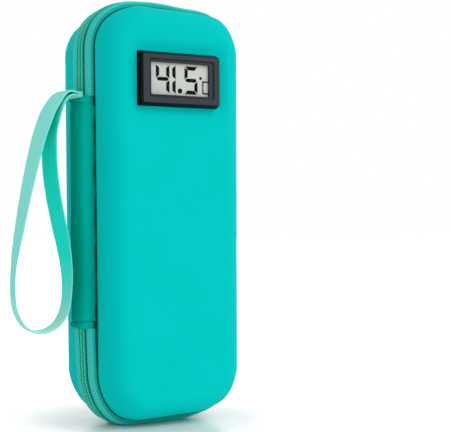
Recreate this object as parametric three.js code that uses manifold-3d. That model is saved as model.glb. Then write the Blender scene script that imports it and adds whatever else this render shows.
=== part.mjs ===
import * as THREE from 'three';
import { mergeVertices } from 'three/addons/utils/BufferGeometryUtils.js';
import Module from 'manifold-3d';

const wasm = await Module();
wasm.setup();

// Insulin cooling case, standing on its zip band. Millimetres, +Z up, the display faces -Y.
// The origin is under the middle of the case, on the surface that it stands on.

// Clearances and fineness
const seat = 0.3;
const overrun = 2;
const cornerSteps = 7;
const edgeSteps = 5;
const roundSteps = 20;

// Shells
const shellWidth = 82.2;
const shellHeight = 216.8;
const cornerRadius = 24;
const shellWall = 3;
const shellEdge = 10;
const frontDepth = 15.6;
const backDepth = 17.1;

// Zip band between the shells
const bandHalf = 12.4;
const bandRise = 1.8;
const endSwell = 2.2;
const bandEdgeRise = 0.5;
const bandShoulder = 10.2;
const bandShoulderRise = 1.7;
const footTrim = 0.3;
const chainHalf = 0.5;
const coilHalf = 2.8;
const coilRise = 2.1;
const coilRound = 0.4;
const tapeLedge = 1;
const tapeThickness = 0.7;
const tapeInset = 0.6;
const bindingWidth = 1.5;
const bindingDepth = 3;

// Lining, mesh pockets and elastic bands
const linerThickness = 0.8;
const netThickness = 0.6;
const netDrop = 10.8;
const hemHeight = 3.6;
const hemThickness = 1;
const bandThickness = 0.8;
const bandHeight = 18;
const lowerBandFoot = 38.3;
const upperBandDrop = 39;

// Gel ice packs
const packWidth = 52;
const packThickness = 10;
const packEdge = 4;
const packFoot = 8.3;
const packHeadroom = 5;

// Spine panel on the left side
const panelFoot = 23.3;
const panelDrop = 23.3;
const foldHeight = 3.8;
const foldCrest = 2.9;
const foldEdgeRise = 0.6;
const panelCrest = 2.6;
const panelEdgeRise = 0.4;
const panelInset = 0.8;
const liningThickness = 0.8;

// Wrist strap
const webWidth = 15;
const webThickness = 1.4;
const webChamfer = 0.4;
const strapSteps = 64;
const strapMiddle = 1;
const tabReach = 2.3;
const tabRise = 0.2;

// Display module
const bezelWidth = 48;
const bezelHeight = 28.6;
const bezelProud = 3;
const bezelCorner = 1.6;
const displayDrop = 39.8;
const ringWidth = 37.7;
const ringHeight = 20.5;
const ringDepth = 1.4;
const windowWidth = 34.8;
const windowHeight = 17.2;
const innerCorner = 1.2;
const ledgeThickness = 0.5;
const bodyWidth = 45.2;
const bodyHeight = 25.8;
const bodyCorner = 1;
const bodyWall = 1.2;
const collarReach = 4.6;
const housingLength = 9;
const lensThickness = 0.6;
const lcdThickness = 2.2;
const stripHeight = 2.4;
const stripDepth = 2.6;
const stripMargin = 3;
const boardThickness = 1;
const cellRadius = 5.8;
const cellThickness = 5.4;
const firstCellX = 2;
const cellGap = 0.9;
const chipSize = 7;
const chipThickness = 1;
const chipMiddle = -12.5;
const bridgeHeight = 5;
const bridgeThickness = 0.3;
const coverThickness = 1.2;
const probeRadius = 2;
const probeLength = 5;
const probeX = 14;

// Zip sliders and their pulls
const sliderHalf = 4.2;
const sliderLength = 9;
const sliderCorner = 1.4;
const plateThickness = 1;
const keelHalf = 0.2;
const keelLength = 3;
const heelHalf = 2.6;
const heelThickness = 1.1;
const archHalf = 1.2;
const archReach = 3.8;
const archLeg = 1.2;
const archThickness = 0.8;
const archOpen = 2;
const pullRadius = 0.6;
const pullHalf = 3.2;
const pullArm = 1.2;
const pullThickness = 1;
const pullStart = 5;
const pullLength = 17;
const meetDrop = 80.5;

// Places that follow from the sizes
const halfWidth = shellWidth / 2;
const shellLow = bandRise * endSwell - footTrim;
const shellHigh = shellLow + shellHeight;
const panelLow = shellLow + cornerRadius + panelFoot;
const panelHigh = shellHigh - cornerRadius - panelDrop;
const displayMiddle = shellHigh - displayDrop;
const netTop = displayMiddle - bodyHeight / 2 - netDrop;
const packLow = shellLow + packFoot;
const packLength = netTop - packHeadroom - packLow;
const meetHeight = shellHigh - meetDrop;
const frontFace = -(bandHalf + frontDepth);
const linerInset = shellWall + seat;
const packInset = linerInset + linerThickness + seat;
const frontSide = { sign: -1, depth: frontDepth };
const backSide = { sign: 1, depth: backDepth };

// Materials
function finish(color, roughness, metalness) {
  return new THREE.MeshStandardMaterial({ color, roughness, metalness });
}

const shellFabric = finish(0x00c4bd, 0.6, 0);
const spineFabric = finish(0x009c8e, 0.5, 0);
const tapeFabric = finish(0x5fc9bd, 0.85, 0);
const coilPlastic = finish(0x2fae9c, 0.5, 0);
const webFabric = finish(0x5fd8cb, 0.85, 0);
const foil = finish(0xc9ccd0, 0.3, 0.6);
const netFabric = finish(0x1f8f88, 0.9, 0);
const elastic = finish(0x17857c, 0.9, 0);
const gelFilm = finish(0x0058c4, 0.35, 0);
const blackPlastic = finish(0x3a3c46, 0.4, 0);
const housingPlastic = finish(0x1c1d21, 0.5, 0);
const clearPlastic = finish(0xdfe6e4, 0.1, 0);
const lcdGlass = finish(0xc8cbc4, 0.25, 0);
const boardLaminate = finish(0x1f6b3a, 0.5, 0);
const epoxy = finish(0x101114, 0.6, 0);
const rubber = finish(0x8d8f94, 0.8, 0);
const steel = finish(0xb9bcc0, 0.3, 1);
const enamel = finish(0x19a79b, 0.35, 0.4);

// Solids from closed geometry, and geometry back from solids
function solid(geometry) {
  const bare = new THREE.BufferGeometry();
  bare.setAttribute('position', geometry.getAttribute('position'));
  bare.setIndex(geometry.getIndex());
  const merged = mergeVertices(bare);
  return new wasm.Manifold(new wasm.Mesh({
    numProp: 3,
    vertProperties: Float32Array.from(merged.getAttribute('position').array),
    triVerts: Uint32Array.from(merged.getIndex().array),
  }));
}

function skin(body) {
  const mesh = body.getMesh();
  const geometry = new THREE.BufferGeometry();
  geometry.setAttribute('position', new THREE.BufferAttribute(mesh.vertProperties, 3));
  geometry.setIndex(new THREE.BufferAttribute(mesh.triVerts, 1));
  geometry.computeVertexNormals();
  return geometry;
}

function piece(name, geometry, material) {
  const mesh = new THREE.Mesh(geometry, material);
  mesh.name = name;
  return mesh;
}

function groupAt(x, y, z, ...members) {
  const group = new THREE.Group();
  group.position.set(x, y, z);
  group.add(...members);
  return group;
}

// Box between pairs of places, in either order
function block(x0, x1, y0, y1, z0, z1) {
  const geometry = new THREE.BoxGeometry(Math.abs(x1 - x0), Math.abs(y1 - y0), Math.abs(z1 - z0));
  geometry.translate((x0 + x1) / 2, (y0 + y1) / 2, (z0 + z1) / 2);
  return geometry;
}

// Rounded rectangle as a closed run of points, with its corners as arcs
function roundedRect(half, low, high, radius) {
  const corners = [[1, -1, -90], [1, 1, 0], [-1, 1, 90], [-1, -1, 180]];
  const points = [];
  for (const [right, up, first] of corners) {
    const x = right * (half - radius);
    const z = up > 0 ? high - radius : low + radius;
    for (let step = 0; step <= cornerSteps; step += 1) {
      const angle = THREE.MathUtils.degToRad(first + 90 * step / cornerSteps);
      points.push(new THREE.Vector2(x + radius * Math.cos(angle), z + radius * Math.sin(angle)));
    }
  }
  return new THREE.Shape(points);
}

// Plate with an outline in X and Z, between two places along Y in either order
function plate(shape, y0, y1) {
  const geometry = new THREE.ExtrudeGeometry(shape, { depth: Math.abs(y1 - y0), bevelEnabled: false });
  geometry.rotateX(Math.PI / 2);
  geometry.translate(0, Math.max(y0, y1), 0);
  return geometry;
}

// Plate centred on the display's own axis
function panel(width, height, radius, y0, y1) {
  return plate(roundedRect(width / 2, -height / 2, height / 2, radius), y0, y1);
}

// Shells: one half's crowned outside, drawn in by an inset, open at the seam or past it by a reach
function crown(side, inset, reach) {
  const edge = shellEdge - inset;
  const drawn = inset + edge;
  const low = shellLow + drawn;
  const outline = roundedRect(halfWidth - drawn, low, shellHigh - drawn, cornerRadius - drawn);
  const faceY = side.sign * (bandHalf + side.depth - inset);
  const seamY = side.sign * (bandHalf - reach);
  const run = Math.abs(faceY - seamY);
  const geometry = new THREE.ExtrudeGeometry(outline, {
    depth: run, bevelThickness: edge, bevelSize: edge, bevelSegments: edgeSteps,
  });
  geometry.rotateX(Math.PI / 2);
  geometry.translate(0, side.sign < 0 ? faceY + run + edge : faceY - edge, 0);
  const farY = seamY - side.sign * (2 * edge + overrun);
  const beyond = block(-shellWidth, shellWidth, seamY, farY, -overrun, shellHigh + overrun);
  return solid(geometry).subtract(solid(beyond));
}

function tray(side, inset, thickness) {
  return crown(side, inset, 0).subtract(crown(side, inset + thickness, overrun));
}

function displayHole() {
  const width = bodyWidth + 2 * seat;
  const height = bodyHeight + 2 * seat;
  const hole = panel(width, height, bodyCorner, -overrun, collarReach + overrun);
  hole.translate(0, frontFace, displayMiddle);
  return solid(hole);
}

// Zip band: the places round the case's outline, from the panel's upper end to its lower end.
// The band swells from the long sides to the top and the foot.
function bandStations() {
  const corners = [[-1, 1, 180], [1, 1, 90], [1, -1, 0], [-1, -1, -90]];
  const stations = [{ x: -halfWidth, z: panelHigh + seat, outX: -1, outZ: 0 }];
  for (const [right, up, first] of corners) {
    const x = right * (halfWidth - cornerRadius);
    const z = up > 0 ? shellHigh - cornerRadius : shellLow + cornerRadius;
    for (let step = 0; step <= cornerSteps; step += 1) {
      const angle = THREE.MathUtils.degToRad(first - 90 * step / cornerSteps);
      const outX = Math.cos(angle);
      const outZ = Math.sin(angle);
      stations.push({ x: x + cornerRadius * outX, z: z + cornerRadius * outZ, outX, outZ });
    }
  }
  stations.push({ x: -halfWidth, z: panelLow - seat, outX: -1, outZ: 0 });
  return stations;
}

// A section of width from the chain's middle plane and rise over the shell, carried round the band
function bandRing(side, section) {
  const stations = bandStations();
  const count = section.length;
  const places = [];
  for (const { x, z, outX, outZ } of stations) {
    const swell = 1 + (endSwell - 1) * outZ * outZ;
    for (const [width, rise] of section) {
      places.push(x + outX * rise * swell, side.sign * width, z + outZ * rise * swell);
    }
  }
  const faces = [];
  for (let ring = 0; ring + 1 < stations.length; ring += 1) {
    for (let corner = 0; corner < count; corner += 1) {
      const a = ring * count + corner;
      const b = ring * count + (corner + 1) % count;
      faces.push([a, b, b + count], [a, b + count, a + count]);
    }
  }
  const contour = section.map(([width, rise]) => new THREE.Vector2(width, rise));
  const last = (stations.length - 1) * count;
  for (const [a, b, c] of THREE.ShapeUtils.triangulateShape(contour, [])) {
    faces.push([a, c, b], [last + a, last + b, last + c]);
  }
  const turned = side.sign > 0 ? faces : faces.map(([a, b, c]) => [a, c, b]);
  const geometry = new THREE.BufferGeometry();
  geometry.setAttribute('position', new THREE.Float32BufferAttribute(places, 3));
  geometry.setIndex(turned.flat());
  const below = block(-shellWidth, shellWidth, -shellWidth, shellWidth, -shellWidth, 0);
  return skin(solid(geometry).subtract(solid(below)));
}

const tapeEdge = bandHalf - seat;
const coilTop = coilRise - coilRound;
const ledgeEnd = coilHalf + seat;
const tapeUnder = tapeLedge - tapeThickness;
const tapeSection = [
  [tapeEdge, -tapeInset],
  [tapeEdge, bandEdgeRise],
  [bandShoulder, bandShoulderRise],
  [ledgeEnd, bandRise],
  [ledgeEnd, tapeLedge],
  [chainHalf, tapeLedge],
  [chainHalf, tapeUnder],
  [bandShoulder, tapeUnder],
  [tapeEdge - tapeThickness, -tapeInset],
];
const coilSection = [
  [coilHalf, tapeLedge + seat],
  [coilHalf, coilTop],
  [coilHalf - coilRound, coilRise],
  [chainHalf + coilRound, coilRise],
  [chainHalf, coilTop],
  [chainHalf, tapeLedge + seat],
];
const bindingTop = -(tapeInset + seat);
const bindingSection = [
  [tapeEdge, bindingTop - bindingDepth],
  [tapeEdge, bindingTop],
  [tapeEdge - bindingWidth, bindingTop],
  [tapeEdge - bindingWidth, bindingTop - bindingDepth],
];

// Soft contents of one half: net pocket, its elastic hem and the gel pack behind it
function pocket(side, name) {
  const outer = side.sign * (bandHalf + seat);
  const inner = outer + side.sign * netThickness;
  const low = shellLow + packInset;
  const half = halfWidth - packInset;
  const outline = roundedRect(half, low, shellHigh - packInset, cornerRadius - packInset);
  const net = plate(outline, outer, inner);
  const above = block(-shellWidth, shellWidth, -shellWidth, shellWidth, netTop, shellHigh + overrun);
  const hemOuter = side.sign * bandHalf;
  const hemInner = hemOuter + side.sign * hemThickness;
  const hemLow = netTop + seat;
  const hem = block(-half, half, hemOuter, hemInner, hemLow, hemLow + hemHeight);
  return [
    piece(`${name}_pocket_net`, skin(solid(net).subtract(solid(above))), netFabric),
    piece(`${name}_pocket_hem`, hem, elastic),
  ];
}

function icePack(name, middleY) {
  const radius = packWidth / 2 - packEdge;
  const outline = roundedRect(radius, packEdge, packLength - packEdge, radius);
  const depth = packThickness - 2 * packEdge;
  const geometry = new THREE.ExtrudeGeometry(outline, {
    depth, bevelThickness: packEdge, bevelSize: packEdge, bevelSegments: edgeSteps,
  });
  geometry.rotateX(Math.PI / 2);
  geometry.translate(0, depth / 2, 0);
  const mesh = piece(name, geometry, gelFilm);
  mesh.position.set(0, middleY, packLow);
  return mesh;
}

function elasticBand(name, low) {
  const half = halfWidth - packInset;
  const y = bandHalf - bandThickness;
  return piece(name, block(-half, half, y, bandHalf, low, low + bandHeight), elastic);
}

// Spine: strips with a crowned outside, running up the left side
function spineStrip(edgeRise, crestRise, low, high) {
  const half = bandHalf - seat;
  const outer = -(halfWidth + edgeRise);
  const control = -(halfWidth + 2 * crestRise - edgeRise);
  const inner = -(halfWidth - panelInset);
  const shape = new THREE.Shape();
  shape.moveTo(inner, -half);
  shape.lineTo(inner, half);
  shape.lineTo(outer, half);
  shape.quadraticCurveTo(control, 0, outer, -half);
  const geometry = new THREE.ExtrudeGeometry(shape, { depth: high - low, bevelEnabled: false });
  geometry.translate(0, 0, low);
  return geometry;
}

function strapLoop() {
  const route = [
    [-46.9, 1, 174.25], [-49.3, 1, 174.95], [-51.8, 1, 174.6], [-54.1, 1, 173.2], [-56, 1, 171.3],
    [-58.3, 1, 168], [-60.9, 1, 163.8], [-63.5, 1, 157.5], [-65.8, 1, 151.2], [-69.3, 1.1, 138.8],
    [-72.2, 1.3, 126.6], [-74.7, 1.9, 114.3], [-76.8, 2.6, 102.1], [-78.8, 3.3, 89.9],
    [-79.8, 3.9, 77.8], [-79.4, 3.9, 65.5], [-77.7, 3.6, 59.4], [-74.6, 3, 54.2], [-70.7, 2.4, 51.5],
    [-66.1, 1.5, 50.6], [-60.9, 0.6, 52], [-56.8, -0.1, 55.2], [-54.2, -0.5, 59.4],
    [-52.7, -0.8, 64.7], [-51.9, -0.9, 74], [-52.1, -0.8, 83.2], [-53.7, -0.2, 95.7],
    [-56.1, 0.4, 108.1], [-58.4, 0.8, 120.5], [-60, 0.9, 132.9], [-60.4, 1, 145.2],
    [-60.1, 1, 152], [-58.9, 1, 157.5], [-57.6, 1, 161.6], [-56.3, 1, 165.4], [-54.7, 1, 168.7],
    [-53.1, 1, 170.7], [-51.2, 1, 172], [-49.1, 1, 172.6], [-46.9, 1, 172.55],
  ];
  const points = route.map(([x, y, z]) => new THREE.Vector3(x, y, z));
  const width = webWidth / 2;
  const thick = webThickness / 2;
  const section = new THREE.Shape([
    new THREE.Vector2(width - webChamfer, -thick),
    new THREE.Vector2(width, webChamfer - thick),
    new THREE.Vector2(width, thick - webChamfer),
    new THREE.Vector2(width - webChamfer, thick),
    new THREE.Vector2(webChamfer - width, thick),
    new THREE.Vector2(-width, thick - webChamfer),
    new THREE.Vector2(-width, webChamfer - thick),
    new THREE.Vector2(webChamfer - width, -thick),
  ]);
  return new THREE.ExtrudeGeometry(section, {
    steps: strapSteps, extrudePath: new THREE.CatmullRomCurve3(points),
  });
}

function spine() {
  const tabFoot = -(halfWidth + foldCrest + seat);
  const tabFace = tabFoot - tabReach;
  const tabHalf = webThickness + seat / 2;
  const foldLow = panelHigh - foldHeight;
  const tabY = strapMiddle - webWidth / 2;
  const tabMiddle = panelHigh + tabRise;
  const liningX = -(halfWidth - panelInset - seat);
  const liningY = bandHalf - seat - liningThickness;
  const foldHigh = panelLow + foldHeight;
  const middle = spineStrip(panelEdgeRise, panelCrest, foldHigh + seat, foldLow - seat);
  const upperFold = spineStrip(foldEdgeRise, foldCrest, foldLow, panelHigh);
  const lowerFold = spineStrip(foldEdgeRise, foldCrest, panelLow, foldHigh);
  const liningInner = liningX + liningThickness;
  const liningLow = panelLow + seat;
  const lining = block(liningX, liningInner, -liningY, liningY, liningLow, panelHigh - seat);
  const tabLow = tabMiddle - tabHalf;
  const tab = block(tabFace, tabFoot, tabY, tabY + webWidth, tabLow, tabMiddle + tabHalf);
  return groupAt(
    0, 0, 0,
    piece('spine_panel', middle, spineFabric),
    piece('spine_upper_fold', upperFold, spineFabric),
    piece('spine_lower_fold', lowerFold, spineFabric),
    piece('spine_lining', lining, foil),
    piece('strap_tab', tab, webFabric),
    piece('wrist_strap', strapLoop(), webFabric),
  );
}

// Display module, in its own place: the shell's face is at zero and the user looks along +Y
function bezel() {
  const rim = solid(panel(bezelWidth, bezelHeight, bezelCorner, -bezelProud, -seat));
  const collar = solid(panel(bodyWidth, bodyHeight, bodyCorner, -bezelProud / 2, collarReach - seat));
  const ring = panel(ringWidth, ringHeight, innerCorner, -bezelProud - overrun, ringDepth - bezelProud);
  const window = panel(windowWidth, windowHeight, innerCorner, -overrun, overrun);
  const ledgeBack = ringDepth - bezelProud + ledgeThickness;
  const insideWidth = bodyWidth - 2 * bodyWall;
  const insideHeight = bodyHeight - 2 * bodyWall;
  const rear = panel(insideWidth, insideHeight, bodyCorner, ledgeBack, collarReach + overrun);
  return skin(rim.add(collar).subtract(solid(ring)).subtract(solid(window)).subtract(solid(rear)));
}

function housing() {
  const end = collarReach + housingLength;
  const insideWidth = bodyWidth - 2 * bodyWall;
  const insideHeight = bodyHeight - 2 * bodyWall;
  const outer = panel(bodyWidth, bodyHeight, bodyCorner, collarReach, end);
  const inner = panel(insideWidth, insideHeight, bodyCorner, collarReach - overrun, end + overrun);
  return skin(solid(outer).subtract(solid(inner)));
}

function cell(name, x, y) {
  const geometry = new THREE.CylinderGeometry(cellRadius, cellRadius, cellThickness, roundSteps);
  geometry.translate(0, cellThickness / 2, 0);
  const mesh = piece(name, geometry, steel);
  mesh.position.set(x, y, 0);
  return mesh;
}

function display() {
  const inWidth = bodyWidth - 2 * bodyWall - 2 * seat;
  const inHeight = bodyHeight - 2 * bodyWall - 2 * seat;
  const ledgeFront = ringDepth - bezelProud;
  const lensBack = ledgeFront - seat;
  const lcdFront = ledgeFront + ledgeThickness + seat;
  const stripFront = lcdFront + lcdThickness + seat;
  const boardFront = stripFront + stripDepth + seat;
  const partsFront = boardFront + boardThickness + seat;
  const bridgeFront = partsFront + cellThickness + seat;
  const coverFront = collarReach + housingLength + seat;
  const stripLow = -inHeight / 2;
  const stripHalf = inWidth / 2 - stripMargin;
  const chipX = chipMiddle - chipSize / 2;
  const chipHalf = chipSize / 2;
  const secondCellX = firstCellX + 2 * cellRadius + cellGap;
  const bridgeLeft = firstCellX - cellRadius;
  const bridgeRight = secondCellX + cellRadius;
  const bridgeBack = bridgeFront + bridgeThickness;
  const bridgeHalf = bridgeHeight / 2;

  const lensWidth = ringWidth - 2 * seat;
  const lensHeight = ringHeight - 2 * seat;
  const lens = panel(lensWidth, lensHeight, innerCorner, lensBack - lensThickness, lensBack);
  const lcd = panel(inWidth, inHeight, bodyCorner, lcdFront, lcdFront + lcdThickness);
  const board = panel(inWidth, inHeight, bodyCorner, boardFront, boardFront + boardThickness);
  const cover = panel(bodyWidth, bodyHeight, bodyCorner, coverFront, coverFront + coverThickness);
  const stripBack = stripFront + stripDepth;
  const strip = block(-stripHalf, stripHalf, stripFront, stripBack, stripLow, stripLow + stripHeight);
  const chip = block(chipX, chipX + chipSize, partsFront, partsFront + chipThickness, -chipHalf, chipHalf);
  const bridge = block(bridgeLeft, bridgeRight, bridgeFront, bridgeBack, -bridgeHalf, bridgeHalf);
  const probe = new THREE.CylinderGeometry(probeRadius, probeRadius, probeLength, roundSteps);
  probe.rotateX(Math.PI / 2);
  const sensorCap = piece('sensor_cap', probe, steel);
  const sensorY = collarReach + housingLength / 2;
  const sensorZ = -(bodyHeight / 2 + seat + probeLength / 2);
  sensorCap.position.set(probeX, sensorY, sensorZ);

  return groupAt(
    0, frontFace, displayMiddle,
    piece('display_bezel', bezel(), blackPlastic),
    piece('display_lens', lens, clearPlastic),
    piece('display_lcd', lcd, lcdGlass),
    piece('contact_strip', strip, rubber),
    piece('circuit_board', board, boardLaminate),
    piece('driver_chip', chip, epoxy),
    cell('button_cell_1', firstCellX, partsFront),
    cell('button_cell_2', secondCellX, partsFront),
    piece('cell_contact', bridge, steel),
    piece('display_housing', housing(), housingPlastic),
    piece('battery_cover', cover, housingPlastic),
    sensorCap,
  );
}

// Zip slider at its own middle: X is the rise over the shell, and the pull points along way, up or down
const plateRise = coilRise + seat;
const plateTop = plateRise + plateThickness;
const pivotRise = plateTop + archOpen / 2 + pullRadius / 2 - seat / 2;

function slider(way) {
  const half = sliderLength / 2;
  const top = plate(roundedRect(sliderHalf, -half, half, sliderCorner), plateRise, plateTop);
  top.rotateZ(-Math.PI / 2);
  const heelTop = tapeUnder - seat;
  const heelLow = heelTop - heelThickness;
  const nose = -way * half;
  const keelEnd = nose + way * keelLength;
  const keel = block(heelLow, plateTop, -keelHalf, keelHalf, nose, keelEnd);
  const heel = block(heelLow, heelTop, -heelHalf, heelHalf, -half, half);
  const archTop = plateTop + archOpen + archThickness;
  const archFoot = plateRise + plateThickness / 2;
  const arch = block(archFoot, archTop, -archHalf, archHalf, -archReach, archReach);
  const openHalf = archReach - archLeg;
  const opening = block(plateTop, plateTop + archOpen, -sliderHalf, sliderHalf, -openHalf, openHalf);
  const bridge = solid(arch).subtract(solid(opening));
  return skin(solid(top).add(solid(heel)).add(solid(keel)).add(bridge));
}

function pull(way) {
  const pivot = new THREE.CylinderGeometry(pullRadius, pullRadius, 2 * pullHalf, roundSteps);
  const thick = pullThickness / 2;
  const far = way * (pullStart + pullLength);
  const near = way * pullStart;
  const tab = block(-thick, thick, -pullHalf, pullHalf, near, far);
  const armInner = pullHalf - pullArm;
  const leftArm = block(-thick, thick, -pullHalf, -armInner, 0, near);
  const rightArm = block(-thick, thick, armInner, pullHalf, 0, near);
  return skin(solid(pivot).add(solid(tab)).add(solid(leftArm)).add(solid(rightArm)));
}

function zipSlider(name, way) {
  const middle = meetHeight + way * (seat / 2 + sliderLength / 2);
  const pullMesh = piece(`${name}_pull`, pull(way), enamel);
  pullMesh.position.set(pivotRise, 0, 0);
  return groupAt(halfWidth, 0, middle, piece(`${name}_slider`, slider(way), enamel), pullMesh);
}

const frontPackY = frontFace + packInset + packThickness / 2;
const backPackY = bandHalf + backDepth - packInset - packThickness / 2;

const frontHalf = groupAt(
  0, 0, 0,
  piece('front_shell', skin(tray(frontSide, 0, shellWall).subtract(displayHole())), shellFabric),
  piece('front_liner', skin(tray(frontSide, linerInset, linerThickness).subtract(displayHole())), foil),
  piece('front_zip_tape', bandRing(frontSide, tapeSection), tapeFabric),
  piece('front_zip_coil', bandRing(frontSide, coilSection), coilPlastic),
  piece('front_edge_binding', bandRing(frontSide, bindingSection), elastic),
  ...pocket(frontSide, 'front'),
  icePack('front_ice_pack', frontPackY),
  display(),
);

const backHalf = groupAt(
  0, 0, 0,
  piece('back_shell', skin(tray(backSide, 0, shellWall)), shellFabric),
  piece('back_liner', skin(tray(backSide, linerInset, linerThickness)), foil),
  piece('back_zip_tape', bandRing(backSide, tapeSection), tapeFabric),
  piece('back_zip_coil', bandRing(backSide, coilSection), coilPlastic),
  piece('back_edge_binding', bandRing(backSide, bindingSection), elastic),
  ...pocket(backSide, 'back'),
  icePack('back_ice_pack', backPackY),
  elasticBand('lower_pen_band', shellLow + lowerBandFoot),
  elasticBand('upper_pen_band', netTop - upperBandDrop),
);

const coolingCase = new THREE.Group();
coolingCase.add(backHalf, spine(), frontHalf, zipSlider('upper', 1), zipSlider('lower', -1));

export default coolingCase;
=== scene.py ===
import math

import bmesh
import bpy
from mathutils import Matrix, Vector, geometry, noise


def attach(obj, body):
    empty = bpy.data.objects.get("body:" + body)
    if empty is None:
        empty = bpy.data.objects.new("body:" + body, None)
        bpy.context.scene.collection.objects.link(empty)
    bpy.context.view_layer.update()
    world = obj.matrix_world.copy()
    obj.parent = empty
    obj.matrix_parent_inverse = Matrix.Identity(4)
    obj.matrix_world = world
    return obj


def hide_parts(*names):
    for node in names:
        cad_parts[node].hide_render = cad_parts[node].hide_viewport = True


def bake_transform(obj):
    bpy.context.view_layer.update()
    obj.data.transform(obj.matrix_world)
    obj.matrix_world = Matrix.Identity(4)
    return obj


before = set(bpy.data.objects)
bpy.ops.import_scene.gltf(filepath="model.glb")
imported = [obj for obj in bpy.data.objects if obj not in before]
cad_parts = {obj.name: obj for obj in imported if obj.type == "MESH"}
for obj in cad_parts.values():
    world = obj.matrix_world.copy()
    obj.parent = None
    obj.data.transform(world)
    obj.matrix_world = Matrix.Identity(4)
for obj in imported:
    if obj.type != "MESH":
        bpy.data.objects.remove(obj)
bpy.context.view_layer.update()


# Camera: level, at half the case's height, two thirds of a metre away and to the left of its front.
# The long lens of a product photograph keeps the case's upright edges parallel.
camera_data = bpy.data.cameras.new("camera")
camera_data.sensor_width = 36.0
camera_data.lens = 97.36
camera_data.shift_x = -0.0033
camera_data.shift_y = 0.0090
camera = bpy.data.objects.new("camera", camera_data)
camera.location = (-0.3197, -0.5782, 0.10746)
camera.rotation_euler = (math.radians(90), math.radians(0.395), math.radians(-32.38))
bpy.context.collection.objects.link(camera)
bpy.context.scene.camera = camera


# Wrist strap: one length of 15 mm grosgrain tape, woven from dyed polyester with a rib right across it.
# Its two ends are laid together and sewn under the spine's upper fold, and the loop hangs from there.
mm = 0.001
strap_width = 15 * mm
strap_thickness = 1.4 * mm
strap_rib = 0.83 * mm
strap_warp = 0.9 * mm
rib_depth = 0.18  # as a share of the thickness
edge_notch = 0.3 * mm
edge_shape, face_shape = 0.3, 0.55  # a lower number draws a squarer edge
shaded_length = 277 * mm  # the part of its length over which the tape's colours change
# the middle of the tape, from one sewn end round the loop to the other, in mm
strap_route = [
    (-46.9, 1, 173.75), (-49.3, 1, 174.5), (-51.8, 1, 174.4), (-54.1, 1, 173.2), (-56, 1, 171.3),
    (-58.3, 1, 168), (-60.9, 1, 163.8), (-63.5, 1, 157.5), (-65.8, 1, 151.2), (-69.3, 1.1, 138.8),
    (-72.2, 1.3, 126.6), (-74.7, 1.9, 114.3), (-76.8, 2.6, 102.1), (-78.8, 3.3, 89.9), (-79.8, 3.9, 77.8),
    (-79.4, 3.9, 65.5), (-77.7, 3.6, 59.4), (-74.6, 3, 54.2), (-70.7, 2.4, 51.5), (-66.1, 1.5, 50.6),
    (-60.9, 0.6, 52), (-56.8, -0.1, 55.2), (-54.2, -0.5, 59.4), (-52.7, -0.8, 64.7), (-51.9, -0.9, 74),
    (-52.1, -0.8, 83.2), (-53.7, -0.2, 95.7), (-56.1, 0.4, 108.1), (-58.4, 0.8, 120.5),
    (-60, 0.9, 132.9), (-60.4, 1, 145.2), (-60.1, 1, 152), (-58.9, 1, 157.5), (-57.6, 1, 161.6),
    (-56.3, 1, 165.4), (-54.7, 1, 168.7), (-53.1, 1, 170.7), (-51.2, 1, 172.1), (-49.1, 1, 172.7),
    (-46.9, 1, 172.3),
]
# how far the tape's width is turned from straight back, in degrees, at percent of its length
strap_turn = [(0, 0), (6, -8), (17, -2.5), (26, 3.7), (33, 8.9), (37, 13.9), (41, 14.6), (48, 12), (56, 6.2),
              (60, 6.1), (65, 2.1), (71, -4.5), (80, -6.3), (88.6, -6), (100, 0)]


def slope(before, here, after, first, second):
    """the direction of a smooth line at a point, from its neighbours and how far away they count"""
    return (here - before) / first - (after - before) / (first + second) + (after - here) / second


def curve_through(points, steps):
    """a smooth line through the points, bending most where they lie close together"""
    ends = [2 * points[0] - points[1], *points, 2 * points[-1] - points[-2]]
    line = [points[0]]
    for before, start, end, after in zip(ends, ends[1:], ends[2:], ends[3:]):
        a, b, c = (step.length ** 0.5 for step in (start - before, end - start, after - end))
        leaving = start + slope(before, start, end, a, b) * b / 3
        arriving = end - slope(start, end, after, b, c) * b / 3
        line += geometry.interpolate_bezier(start, leaving, arriving, end, steps + 1)[1:]
    return line


def even_line(line, count):
    """the same line with its points at even distances, and its length"""
    runs = [0.0]
    for a, b in zip(line, line[1:]):
        runs.append(runs[-1] + (b - a).length)
    points = []
    nearest = 0
    for index in range(count + 1):
        run = runs[-1] * index / count
        while nearest < len(runs) - 2 and runs[nearest + 1] < run:
            nearest += 1
        share = (run - runs[nearest]) / (runs[nearest + 1] - runs[nearest])
        points.append(line[nearest].lerp(line[nearest + 1], min(share, 1)))
    return points, runs[-1]


def height_on(line, x):
    """the y of a line of points at an x, straight between the points"""
    for a, b in zip(line, line[1:]):
        if x <= b.x:
            return a.y + (b.y - a.y) * max(x - a.x, 0) / (b.x - a.x)
    return line[-1].y


def linear(code):
    """an sRGB hex colour as the linear colour that a shader takes"""
    channels = [int(code[k:k + 2], 16) / 255 for k in (0, 2, 4)]
    return [c / 12.92 if c <= 0.04045 else ((c + 0.055) / 1.055) ** 2.4 for c in channels] + [1.0]


def new_material(name, code, **inputs):
    """a Principled material; an input's name has _ for a blank"""
    material = bpy.data.materials.new(name)
    material.use_nodes = True
    shader = material.node_tree.nodes["Principled BSDF"]
    shader.inputs["Base Color"].default_value = linear(code)
    for socket, value in inputs.items():
        shader.inputs[socket.replace("_", " ").title().replace("Ior", "IOR")].default_value = value
    return material, shader


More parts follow.
